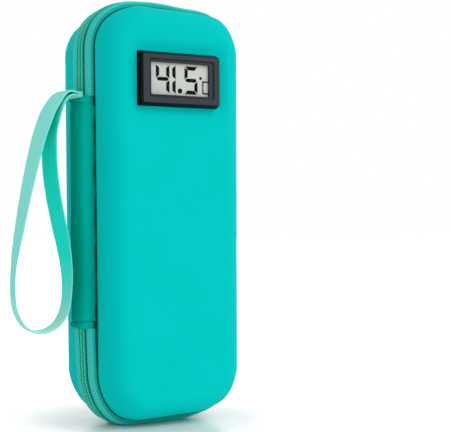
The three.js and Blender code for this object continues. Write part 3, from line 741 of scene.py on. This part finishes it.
# Hinge strips: the panel's margins of bare leather, stitched to each shell's rim.
# Past the rim each slopes in, so that it lies against the foam.
hinge_edges = (10.4, 14)  # from the case's middle, in mm
hinge_low, hinge_high = 51.5 * mm, 172.8 * mm
hinge_slope = 0.35
hinge_waves = (0.1 * mm, 7 * mm)
for side, name in ((-1, "front"), (1, "back")):
    bm = bmesh.new()
    near, far = sorted(side * edge * mm for edge in hinge_edges)
    rounded_block(bm, (-40.4 * mm, near, hinge_low), (-39.9 * mm, far, hinge_high), 0.2 * mm)
    bmesh.ops.subdivide_edges(bm, edges=edges_along(bm.edges, 1, 2 * mm), cuts=9)
    bmesh.ops.subdivide_edges(bm, edges=edges_along(bm.edges, 2, 60 * mm), cuts=40)
    for vert in bm.verts:
        rise, tall = hinge_waves
        past = max(abs(vert.co.y) - band_half, 0)
        vert.co.x += past * hinge_slope + rise * noise.noise(Vector((side, 0, vert.co.z / tall)))
    strip = make_piece(f"spine_{name}_hinge_strip", bm, leather, sharp=60)
    if side < 0:
        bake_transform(strip)
    else:
        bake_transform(strip)

# Spine lining: the same aluminised film as the liners, on thin foam. It is cut to the panel's inside and
# glued there, over the inner edges of the hinge strips.
bm = bmesh.new()
rounded_block(bm, (-40 * mm, -11.3 * mm, 51.26 * mm), (-39.2 * mm, 11.3 * mm, 172.86 * mm), 0.3 * mm)
make_piece("spine_lining_film", bm, foil, "spine", ["spine_lining"], sharp=60)


# Display: a push-in module of black ABS, moulded with a thick frame that stands proud of the shell.
# Its flat front is moulded fine-matt and looks grey; its sloping sides and its window are polished.
front_y = -31 * mm
window_y = -30.3 * mm
lcd_y = -29.05 * mm
frame_back_y = -26.4 * mm
glass_depth = 1.9 * mm
collar_depth = 2.7 * mm
collar_wall = 1.4 * mm
window_round, frame_round, front_round = 0.8 * mm, 0.7 * mm, 0.25 * mm
window_reach = 21 * mm  # the window's corners lie nearer to the middle than this, the frame's further out
# left, right, foot and top in mm from the display's middle: the front face, its inner edge, the sunk step
# and the opening in it
front_box = (-22.6, 23.4, -12.8, 12.4)
front_inner_box = (-18.5, 19.9, -9.6, 10)
step_box = (-18.3, 19.2, -9.3, 9.6)
opening_box = (-17.6, 17.3, -8.35, 8.35)


def fit_box(face, left, right, low, high):
    """stretches a face in X and Z to a box given in mm"""
    x0, x1 = min(v.co.x for v in face.verts), max(v.co.x for v in face.verts)
    z0, z1 = min(v.co.z for v in face.verts), max(v.co.z for v in face.verts)
    for vert in face.verts:
        vert.co.x = (left + (right - left) * (vert.co.x - x0) / (x1 - x0)) * mm
        vert.co.z = display_middle + (low + (high - low) * (vert.co.z - z0) / (z1 - z0)) * mm


def corner_edges(bm, outer):
    """the edges that run back into the frame, at its outer corners or at its window's"""
    return [e for e in edges_along(bm.edges, 1, 0.4 * mm)
            if all(abs(v.co.x) > window_reach for v in e.verts) == outer]


bm = bmesh.new()
bmesh.ops.create_cube(bm, size=1)
bmesh.ops.scale(bm, verts=bm.verts, vec=(2 * bezel_half[0], frame_back_y - front_y, 2 * bezel_half[1]))
bmesh.ops.translate(bm, verts=bm.verts, vec=(0, (front_y + frame_back_y) / 2, display_middle))
face = faces_in_plane(bm, front_y)
fit_box(face[0], *front_box)
bmesh.ops.inset_region(bm, faces=face, thickness=3 * mm)
fit_box(face[0], *front_inner_box)
face = pushed_in(bm, face, window_y - front_y)
fit_box(face[0], *step_box)
bmesh.ops.inset_region(bm, faces=face, thickness=0.9 * mm)
fit_box(face[0], *opening_box)
pushed_in(bm, face, glass_depth)
back = faces_in_plane(bm, frame_back_y)
bmesh.ops.inset_region(bm, faces=back, thickness=collar_wall)
pushed_in(bm, back, collar_depth)
round_edges(bm, corner_edges(bm, False), window_round, 4)
round_edges(bm, corner_edges(bm, True), frame_round, 4)
creased = [e for e in edges_in_plane(bm, front_y) if e.calc_face_angle(0) > 0.3]
round_edges(bm, creased, front_round, 2)
bmesh.ops.recalc_face_normals(bm, faces=bm.faces)
# 1 on the two grained faces, 0 elsewhere
grained = [(float(min(abs(v.co.y - front_y), abs(v.co.y - window_y)) < 0.05 * mm), 0, 0) for v in bm.verts]
# Moulded ABS: black; the front face's spark-eroded grain scatters the light and reads dark grey.
abs_plastic, shader = new_material("moulded_abs", "1a1b1f", roughness=0.28, specular_ior_level=0.1)
coords = add_node(abs_plastic, "TexCoord", out="Object")
front = woven_place(abs_plastic)[0]
grain = add_node(abs_plastic, "TexNoise", {"Vector": coords, "Scale": 1 / (0.35 * mm)})
tone = add_node(abs_plastic, "MixRGB", {"Fac": front, "Color1": linear("050607"), "Color2": linear("3a3e46")})
link(abs_plastic, tone, shader, "Base Color")
gloss = add_node(abs_plastic, "MapRange", {"Value": front, "To Min": 0.22, "To Max": 0.45})
link(abs_plastic, gloss, shader, "Roughness")
relief = add_node(abs_plastic, "Math", {0: grain, 1: front}, operation="MULTIPLY")
bump = add_node(abs_plastic, "Bump", {"Strength": 0.2, "Distance": 0.06 * mm, "Height": relief})
link(abs_plastic, bump, shader, "Normal")
make_piece("display_frame", bm, abs_plastic, "front_half", ["display_bezel"], sharp=35,
           weave=grained)

# Window: a sheet of clear polycarbonate behind the frame, polished on both faces.
# It is so clear that only a faint haze of wiping shows.
lens, shader = new_material("clear_polycarbonate", "0c0e10", roughness=0.05, alpha=0.04)
coords = add_node(lens, "TexCoord", out="Object")
haze = add_node(lens, "TexNoise", {"Vector": coords, "Scale": 1 / (6 * mm)})
smears = add_node(lens, "MapRange", {"Value": haze, "To Min": 0.03, "To Max": 0.08})
link(lens, smears, shader, "Roughness")
bm = bmesh.new()
rounded_block(bm, (-17.55 * mm, -29.75 * mm, display_middle - 8.25 * mm),
              (17.15 * mm, -29.35 * mm, display_middle + 8.25 * mm), 0.1 * mm)
make_piece("display_window", bm, lens, "front_half", ["display_lens"], sharp=40)

# Liquid crystal cell: two sheets of glass behind a grey reflecting polariser.
# Its segments are etched electrodes that turn black; here they show an example reading in degrees.
ink_depth = 0.04 * mm
lcd_shift = -1.08  # the reading stands this much left of the frame's middle, in mm
bar_slant = 0.75  # how far a bar's ends are cut back, as a share of its stroke
bar_point = 0.8 * mm
# each bar's left, right, foot and top, in mm, and the side (X, Z) on which its ends are cut back; a broad bar
# with no such side gets pointed ends
reading_bars = (
    (-13.1, -11.15, 0.35, 7.15, 1, 0), (-12.55, -5.65, -1.05, 0.9, 0, 0), (-7.05, -5.1, 0.35, 7.15, -1, 0),
    (-7.05, -5.1, -7.3, -0.5, -1, 0), (-3.35, -1.4, 0.1, 7.15, -1, 0), (-3.35, -1.4, -7.3, -0.3, -1, 0),
    (4.45, 11.65, 5.2, 7.2, 0, -1), (3.95, 5.9, 0.35, 6.6, 1, 0), (4.5, 11.3, -1.05, 0.9, 0, 0),
    (9.9, 11.85, -6.8, -0.5, -1, 0), (4.15, 11.35, -7.36, -5.36, 0, 1), (14.9, 18.7, -0.8, 0, 0, 0),
    (14.7, 15.5, -3.35, -0.2, 0, 0), (14.7, 15.5, -6.75, -3.6, 0, 0), (14.9, 18.7, -6.95, -6.15, 0, 0),
)
reading_dots = ((1.2, -5.85, 1.35), (13.73, 1.39, 0.85))  # place and radius, in mm
polariser, shader = new_material("reflective_polariser", "d8dcd5", roughness=0.4, specular_ior_level=0.3)
coords = add_node(polariser, "TexCoord", out="Object")
grain = add_node(polariser, "TexNoise", {"Vector": coords, "Scale": 1 / (0.25 * mm), "Detail": 1.0})
show_pattern(polariser, shader, grain, [(0.2, "d6dad3"), (0.8, "dee2db")])
bm = bmesh.new()
rounded_block(bm, (-17.9 * mm, lcd_y, display_middle - 8.6 * mm),
              (17.9 * mm, -26.8 * mm, display_middle + 8.6 * mm), 0.1 * mm)
make_piece("display_liquid_crystal_cell", bm, polariser, "front_half", ["display_lcd"], sharp=40)


def lcd_bar(bm, left, right, low, high, inner_x, inner_z):
    """one bar of a digit; its ends are cut slanting on the side where the digit's inside lies"""
    made = bmesh.ops.create_cube(bm, size=1)["verts"]
    stroke = min(right - left, high - low)
    for vert in made:
        x, z = vert.co.x * 2, vert.co.z * 2
        cut_x = bar_slant * stroke if inner_z and z == inner_z else 0
        cut_z = bar_slant * stroke if inner_x and x == inner_x else 0
        vert.co.x = ((left + right) / 2 + x * ((right - left) / 2 - cut_x) + lcd_shift) * mm
        vert.co.z = display_middle + ((low + high) / 2 + z * ((high - low) / 2 - cut_z)) * mm
        vert.co.y = lcd_y - ink_depth / 2 + vert.co.y * ink_depth
    if inner_x == inner_z and stroke > 1:
        round_edges(bm, edges_along(edges_of(made), 1, ink_depth / 4), bar_point, 1)


# Switched liquid crystal: black, and matt under the window.
lcd_ink, shader = new_material("switched_liquid_crystal", "0b0c0d", roughness=0.6, specular_ior_level=0.05)
coords = add_node(lcd_ink, "TexCoord", out="Object")
grain = add_node(lcd_ink, "TexNoise", {"Vector": coords, "Scale": 1 / (0.3 * mm)})
show_pattern(lcd_ink, shader, grain, [(0.3, "08090a"), (0.7, "101213")])
bm = bmesh.new()
for bar in reading_bars:
    lcd_bar(bm, *bar)
for x, z, radius in reading_dots:
    turn = Matrix.Rotation(math.radians(90), 4, "X")
    place = Matrix.Translation(((x + lcd_shift) * mm, lcd_y - ink_depth / 2, display_middle + z * mm))
    bmesh.ops.create_cone(bm, cap_ends=True, segments=24, radius1=radius * mm, radius2=radius * mm,
                          depth=ink_depth, matrix=place @ turn)
bmesh.ops.recalc_face_normals(bm, faces=bm.faces)
make_piece("display_segments", bm, lcd_ink, "front_half", sharp=30)


# Works behind the display: a housing pushed on from inside, with the board, chip, contact strip and two
# cells, and a snap-on cover. Their CAD shapes are kept, with their cut edges softened as moulding and
# stamping leave them.
def softened(node, name, material, body, radius, angle=30):
    """a copy of a CAD piece whose faces are merged and whose sharp edges are rounded"""
    bm = bmesh.new()
    bm.from_mesh(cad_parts[node].data)
    bmesh.ops.transform(bm, matrix=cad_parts[node].matrix_world, verts=bm.verts)
    bmesh.ops.remove_doubles(bm, verts=bm.verts, dist=0.001 * mm)
    bmesh.ops.dissolve_limit(bm, angle_limit=math.radians(3), verts=bm.verts, edges=bm.edges)
    sharp = [e for e in bm.edges if len(e.link_faces) == 2 and e.calc_face_angle(0) > math.radians(angle)]
    round_edges(bm, sharp, radius, 2)
    make_piece(name, bm, material, body, [node], sharp=30)


# Moulded ABS with an even fine grain: a matt, very dark grey.
housing_plastic, shader = new_material("matt_abs", "24272b", roughness=0.5)
coords = add_node(housing_plastic, "TexCoord", out="Object")
grain = add_node(housing_plastic, "TexNoise", {"Vector": coords, "Scale": 1 / (0.5 * mm)})
show_pattern(housing_plastic, shader, grain, [(0.3, "1f2226"), (0.7, "2b2e33")], 0.3, 0.08 * mm)
for node, radius in (("display_housing", 0.3), ("battery_cover", 0.4)):
    softened(node, f"{node}_moulding", housing_plastic, "front_half", radius * mm)

# Rolled and stamped steel, nickel-plated: bright, with the faint lines of rolling.
steel, shader = new_material("nickel_plated_steel", "c6c7c4", metallic=1.0, roughness=0.28)
coords = add_node(steel, "TexCoord", out="Object")
stretched = add_node(steel, "Mapping", {"Vector": coords, "Scale": (1, 1, 12)})
lines = add_node(steel, "TexNoise", {"Vector": stretched, "Scale": 1 / (2.5 * mm), "Detail": 3.0})
shine = add_node(steel, "MapRange", {"Value": lines, "To Min": 0.2, "To Max": 0.38})
link(steel, shine, shader, "Roughness")
show_pattern(steel, shader, lines, [(0.3, "bcbdba"), (0.7, "cfd0cd")])
for node, name, radius, angle in (("sensor_cap", "temperature_sensor_cap", 0.5, 60),
                                  ("button_cell_1", "button_cell_can_1", 0.4, 60),
                                  ("button_cell_2", "button_cell_can_2", 0.4, 60),
                                  ("cell_contact", "cell_contact_plate", 0.08, 30)):
    softened(node, name, steel, "front_half", radius * mm, angle)

# Glass-epoxy board under green solder mask, with paler tracks; a matt black chip of moulded epoxy; and a
# contact strip of pink silicone rubber with black conducting layers, drawn coarser than they are.
board, shader = new_material("solder_masked_laminate", "12603a", roughness=0.35)
coords = add_node(board, "TexCoord", out="Object")
tracks = add_node(board, "TexBrick", {"Vector": coords, "Scale": 1 / (6 * mm), "Mortar Size": 0.03,
                                      "Color1": linear("12603a"), "Color2": linear("0f5533"),
                                      "Mortar": linear("2f8a4f")})
link(board, tracks, shader, "Base Color")
epoxy, shader = new_material("moulded_epoxy", "1b1c1e", roughness=0.6)
coords = add_node(epoxy, "TexCoord", out="Object")
specks = add_node(epoxy, "TexNoise", {"Vector": coords, "Scale": 1 / (0.3 * mm)})
show_pattern(epoxy, shader, specks, [(0.3, "17181a"), (0.7, "232528")])
elastomer, shader = new_material("striped_elastomer", "b98a9a", roughness=0.6)
coords = add_node(elastomer, "TexCoord", out="Object")
x = add_node(elastomer, "SeparateXYZ", {"Vector": coords}, out="X")
show_pattern(elastomer, shader, waves(elastomer, x, 0.4 * mm), [(0.4, "c79aa8"), (0.6, "2a2628")])
for node, name, material, slot, radius in (
        ("circuit_board", "circuit_board_laminate", board, "board_laminate", 0.1),
        ("driver_chip", "driver_chip_package", epoxy, "chip_epoxy", 0.15),
        ("contact_strip", "contact_strip_elastomer", elastomer, "strip_rubber", 0.2)):
    softened(node, name, material, "front_half", radius * mm)


# Net pockets: knitted polyester net, one in each half, sewn under the edge binding and stretched flat.
# The net is drawn a little coarse, so that its meshes can be counted.
# The hem along its open side is folded elastic, which holds the gel pack behind the net.
net_pitch = 2.2 * mm
net_meshes = 108  # to each side of the square from which the net is cut
net_half = 36.4 * mm
net_low = 8.06 * mm
net_high = 156.96 * mm
net_corner = 19.6 * mm
net_yarn_width = 0.72 * mm
hem_box = (12.4, 13.4, 157.26, 160.86)  # inner and outer face, foot and top, in mm
hem_seams = (157.9, 160.2)
strip_stitch = 2.2 * mm
# Knitted polyester yarn: matt and a little hairy, dark teal. Ribbed elastic: the same dye over rubber cords,
# whose ribs catch the light.
net_yarn, shader = new_material("knitted_net_yarn", "1b8f86", roughness=0.8, specular_ior_level=0.15,
                                sheen_weight=0.1)
coords = add_node(net_yarn, "TexCoord", out="Object")
fuzz = add_node(net_yarn, "TexNoise", {"Vector": coords, "Scale": 1 / (0.6 * mm)})
show_pattern(net_yarn, shader, fuzz, [(0.3, "137a72"), (0.7, "27a298")])
elastic, shader = new_material("ribbed_elastic", "148a80", roughness=0.8, specular_ior_level=0.15,
                               sheen_weight=0.1)
width, _, run = woven_place(elastic)
cords = waves(elastic, width, 1.2 * mm)
picks = waves(elastic, run, 0.8 * mm)
knit = add_node(elastic, "Math", {0: cords, 1: picks}, operation="MULTIPLY")
show_pattern(elastic, shader, knit, [(0.0, "0f6f67"), (1.0, "2aa99d")], 0.5, 0.2 * mm)


def elastic_strip(y0, y1, low, high, waviness):
    """a flat elastic strip across the case, gathered in four waves, and each point's place on the cloth"""
    bm = bmesh.new()
    rounded_block(bm, (-net_half, y0 * mm, low * mm), (net_half, y1 * mm, high * mm), 0.3 * mm)
    bmesh.ops.subdivide_edges(bm, edges=edges_along(bm.edges, 0, net_half), cuts=59)
    weave = [(v.co.z, v.co.y, v.co.x) for v in bm.verts]
    for vert in bm.verts:
        share = vert.co.x / net_half
        vert.co.y += waviness * mm * math.cos(share * 4 * math.pi + math.pi) * (1 - share ** 8)
    return bm, weave


for side, name, *_ in halves:
    near, far, low, high = hem_box
    bm, weave = elastic_strip(*sorted((side * near, side * far)), low, high, 0)
    make_piece(f"{name}_pocket_hem_elastic", bm, elastic, f"{name}_half",
               [f"{name}_pocket_hem"], sharp=60, weave=weave)
    bm = bmesh.new()
    bmesh.ops.create_grid(bm, x_segments=net_meshes, y_segments=net_meshes, size=net_meshes * net_pitch / 2)
    turn = Matrix.Rotation(math.radians(90), 3, "X") @ Matrix.Rotation(math.radians(45), 3, "Z")
    bmesh.ops.rotate(bm, cent=(0, 0, 0), matrix=turn, verts=bm.verts)
    bmesh.ops.translate(bm, verts=bm.verts, vec=(0, side * 13 * mm, (net_low + net_high) / 2))
    cuts = [((0, 0, net_high), (0, 0, 1)), ((0, 0, net_low), (0, 0, -1)),
            ((net_half, 0, 0), (1, 0, 0)), ((-net_half, 0, 0), (-1, 0, 0))]
    for right in (-1, 1):
        centre = Vector((right * (net_half - net_corner), 0, net_low + net_corner))
        for degrees in (12, 27, 42, 57, 72):
            angle = math.radians(degrees)
            normal = Vector((right * math.sin(angle), 0, -math.cos(angle)))
            cuts.append((centre + normal * net_corner, normal))
    for place, normal in cuts:
        bmesh.ops.bisect_plane(bm, geom=list(bm.verts) + list(bm.edges) + list(bm.faces), plane_co=place,
                               plane_no=normal, clear_outer=True)
    net = make_piece(f"{name}_pocket_knitted_net", bm, net_yarn, f"{name}_half",
                     [f"{name}_pocket_net"], sharp=80)
    wires = net.modifiers.new("yarns", "WIREFRAME")
    wires.thickness = net_yarn_width
    wires.use_boundary = True
    wires.use_even_offset = False
    bm = bmesh.new()
    for z in hem_seams:
        stitch_row(bm, Vector((-36, side * near, z)) * mm, Vector((36, side * near, z)) * mm, strip_stitch,
                   Vector((0.8, 0.18, 0.15)) * mm, Vector((0, -side, 0)))
    make_piece(f"{name}_pocket_hem_stitches", bm, thread, f"{name}_half", sharp=80)

# Pen bands: two strips of the same elastic over the back half's pocket, sewn down at five places.
# The four loops between the seams are gathered a little, and each holds one pen.
pen_bands = (("lower", 41.96, 59.96), ("upper", 117.96, 135.96))  # foot and top, in mm
band_seams = (-35.4, -18.2, 0, 18.2, 35.4)
for name, low, high in pen_bands:
    bm, weave = elastic_strip(11.5, 12.3, low, high, 0.35)
    make_piece(f"{name}_pen_band_elastic", bm, elastic, "back_half", [f"{name}_pen_band"],
               sharp=60, weave=weave)
    bm = bmesh.new()
    for x in band_seams:
        stitch_row(bm, Vector((x, 11.2, low + 1)) * mm, Vector((x, 11.2, high - 1)) * mm, strip_stitch,
                   Vector((0.8, 0.18, 0.3)) * mm, Vector((0, -1, 0)))
    make_piece(f"{name}_pen_band_stitches", bm, thread, "back_half", sharp=80)


# Gel packs: two pillows of blue gel between sheets of smooth film, each with a flat welded seam round it.
# The filled film swells between its seams, so the pillow is blown up as cloth.
pack_half = Vector((26, 5, 70)) * mm
pack_middle = 81.96 * mm
seam_width = 1.6 * mm
seam_half = 0.45 * mm
pillow_half, rim_radius = 3.4 * mm, 2.6 * mm  # half its depth before it is blown up, and its rims' rounding
most_swell = 1.6 * mm
pack_depths = (("front", -18.6 * mm), ("back", 20.1 * mm))
# Blue film over blue gel: smooth and glossy, deeper where the gel is thick, with broad soft wrinkles.
gel_film, shader = new_material("blue_gel_film", "0052c0", roughness=0.32, specular_ior_level=0.45,
                                coat_weight=0.3, coat_roughness=0.15)
coords = add_node(gel_film, "TexCoord", out="Object")
gel = add_node(gel_film, "TexNoise", {"Vector": coords, "Scale": 1 / (18 * mm)})
wrinkles = add_node(gel_film, "TexNoise", {"Vector": coords, "Scale": 1 / (5 * mm), "Detail": 3.0})
show_pattern(gel_film, shader, gel, [(0.3, "004fc6"), (0.7, "0064d0")])
bump = add_node(gel_film, "Bump", {"Strength": 0.2, "Distance": 0.6 * mm, "Height": wrinkles})
link(gel_film, bump, shader, "Normal")


def pack_block(bm, x, y, z, rounding):
    """a flat block with half-round ends"""
    made = bmesh.ops.create_cube(bm, size=1)["verts"]
    bmesh.ops.scale(bm, verts=made, vec=(2 * x, 2 * y, 2 * z))
    before = set(bm.verts) - set(made)
    round_edges(bm, edges_along(edges_of(made), 1, y), x - 0.02 * mm, 14)
    made = [v for v in bm.verts if v not in before]
    rims = [e for e in edges_of(made) if abs(e.verts[0].co.y - e.verts[1].co.y) < 0.1 * y]
    round_edges(bm, rims, rounding, 4)


bm = bmesh.new()
pack_block(bm, pack_half.x - seam_width, pillow_half, pack_half.z - seam_width, rim_radius)
pillow = bpy.data.objects.new("pillow_block", bpy.data.meshes.new("pillow_block"))
bm.to_mesh(pillow.data)
bm.free()
bpy.context.collection.objects.link(pillow)
remesh = pillow.modifiers.new("remesh", "REMESH")
remesh.mode = "VOXEL"
remesh.voxel_size = 4 * mm


def worked_mesh(obj):
    """the mesh that an object's modifiers give"""
    bpy.context.view_layer.update()
    return bpy.data.meshes.new_from_object(obj.evaluated_get(bpy.context.evaluated_depsgraph_get()))


pillow.data = worked_mesh(pillow)
pillow.modifiers.clear()
at_rest = [v.co.copy() for v in pillow.data.vertices]
cloth = pillow.modifiers.new("swell", "CLOTH")
cloth.settings.use_pressure = True
cloth.settings.uniform_pressure_force = 4
cloth.settings.effector_weights.gravity = 0
for number in range(1, 21):
    bpy.context.scene.frame_set(number)
blown = worked_mesh(pillow)
pillow.modifiers.clear()
bpy.context.scene.frame_set(1)
drift = sum((a.co - b for a, b in zip(blown.vertices, at_rest)), Vector()) / len(at_rest)
for vert, rest, after in zip(pillow.data.vertices, at_rest, blown.vertices):
    moved = after.co - rest - drift
    if moved.length > most_swell:
        moved *= most_swell / moved.length
    vert.co = rest + moved
bm = bmesh.new()
bm.from_mesh(pillow.data)
for _ in range(2):
    bmesh.ops.smooth_vert(bm, verts=bm.verts, factor=0.5, use_axis_x=True, use_axis_y=True, use_axis_z=True)
bmesh.ops.subdivide_edges(bm, edges=bm.edges, cuts=1, smooth=1.0, use_grid_fill=True)
thickest = max(abs(v.co.y) for v in bm.verts)
for vert in bm.verts:
    vert.co.y *= (pack_half.y - 0.1 * mm) / thickest
pack_block(bm, pack_half.x, seam_half, pack_half.z, 0.3 * mm)
bmesh.ops.recalc_face_normals(bm, faces=bm.faces)
pack_mesh = bpy.data.meshes.new("gel_pack")
bm.to_mesh(pack_mesh)
bm.free()
bpy.data.objects.remove(pillow)
for name, y in pack_depths:
    bm = bmesh.new()
    bm.from_mesh(pack_mesh)
    bmesh.ops.translate(bm, verts=bm.verts, vec=(0, y, pack_middle))
    pack = make_piece(f"{name}_gel_pack", bm, gel_film, f"{name}_half", [f"{name}_ice_pack"],
                      sharp=60)


# Zip sliders and pulls: zinc die castings in teal enamel, on the right side, which the photograph doesn't
# show. The pulls swing on the sliders' bridges. Stoved enamel rounds every edge; it is glossy, and its faint
# orange peel breaks up the highlights.
enamel, shader = new_material("enamelled_zinc", "0a9f93", roughness=0.3, specular_ior_level=0.5,
                              coat_weight=0.4, coat_roughness=0.12)
coords = add_node(enamel, "TexCoord", out="Object")
peel = add_node(enamel, "TexNoise", {"Vector": coords, "Scale": 1 / (1.2 * mm), "Detail": 1.0})
show_pattern(enamel, shader, peel, [(0.3, "099a8e"), (0.7, "0da89b")], 0.12, 0.08 * mm)
for place in ("upper", "lower"):
    for name, radius in ((f"{place}_slider", 0.3 * mm), (f"{place}_pull", 0.35 * mm)):
        softened(name, f"{name}_casting", enamel, name, radius)


# Floor: a sheet of white board under the case. It shows white, and keeps the case's shadow.
# It is half glossy, so that the case's foot shows in it faintly; near the case a painted shadow darkens it,
# and it is painted brighter further away.
shaded_radius = 50 * mm
bright_radius = 105 * mm
floor_tint = (1, 0.95, 0.97)
floor_material = bpy.data.materials.new("white_board")
floor_material.use_nodes = True
nodes = floor_material.node_tree.nodes
nodes.remove(nodes["Principled BSDF"])
seen = add_node(floor_material, "LightPath", out="Is Camera Ray")
coords = add_node(floor_material, "TexCoord", out="Object")
away = add_node(floor_material, "VectorMath", {0: coords}, out="Value", operation="LENGTH")
# painted shadow: the floor is painted darker near the case and brighter away from it
painted_shadow_gain = add_node(floor_material, "MapRange", {
    "Value": away, "From Min": shaded_radius, "From Max": bright_radius, "To Min": 1.15, "To Max": 2.25})
shown_with_painted_shadow = add_node(floor_material, "VectorMath", {0: painted_shadow_gain, 1: floor_tint}, operation="MULTIPLY")
lit = add_node(floor_material, "MixRGB", {"Fac": seen, "Color1": linear("f7f7f7"), "Color2": shown_with_painted_shadow})
paper = add_node(floor_material, "BsdfDiffuse", {"Color": lit})
gloss = add_node(floor_material, "BsdfGlossy", {"Color": (1, 1, 1, 1), "Roughness": 0.22})
sheet = add_node(floor_material, "MixShader", {0: 0.4, 1: paper, 2: gloss})
link(floor_material, sheet, nodes["Material Output"], "Surface")
bm = bmesh.new()
bmesh.ops.create_grid(bm, x_segments=1, y_segments=1, size=6)
mesh = bpy.data.meshes.new("floor")
bm.to_mesh(mesh)
bm.free()
mesh.materials.append(floor_material)
floor = bpy.data.objects.new("floor", mesh)
bpy.context.collection.objects.link(floor)


# Light: one wide soft box before the case, to its right and above, in an even white room.
# The room lights the case at two thirds of white and shows as white itself.
lamp_data = bpy.data.lights.new("wide_soft_box", "SUN")
lamp_data.angle = math.radians(40)
lamp_data.energy = 1.05
lamp = bpy.data.objects.new("wide_soft_box", lamp_data)
lamp.rotation_euler = Vector((0.5, -0.75, 0.75)).to_track_quat("Z", "Y").to_euler()
bpy.context.collection.objects.link(lamp)
world = bpy.data.worlds.new("room")
bpy.context.scene.world = world
world.use_nodes = True
room = world.node_tree.nodes["Background"]
path = add_node(world, "LightPath").node.outputs
seen = add_node(world, "Math", {0: path["Is Camera Ray"], 1: path["Is Glossy Ray"]}, operation="MAXIMUM")
seen = add_node(world, "Math", {0: seen, 1: path["Is Transmission Ray"]}, operation="MAXIMUM")
strength = add_node(world, "MapRange", {"Value": seen, "To Min": 0.67, "To Max": 1.0})
room.inputs["Color"].default_value = (1, 1, 1, 1)
link(world, strength, room, "Strength")
bpy.context.scene.view_settings.view_transform = "Standard"
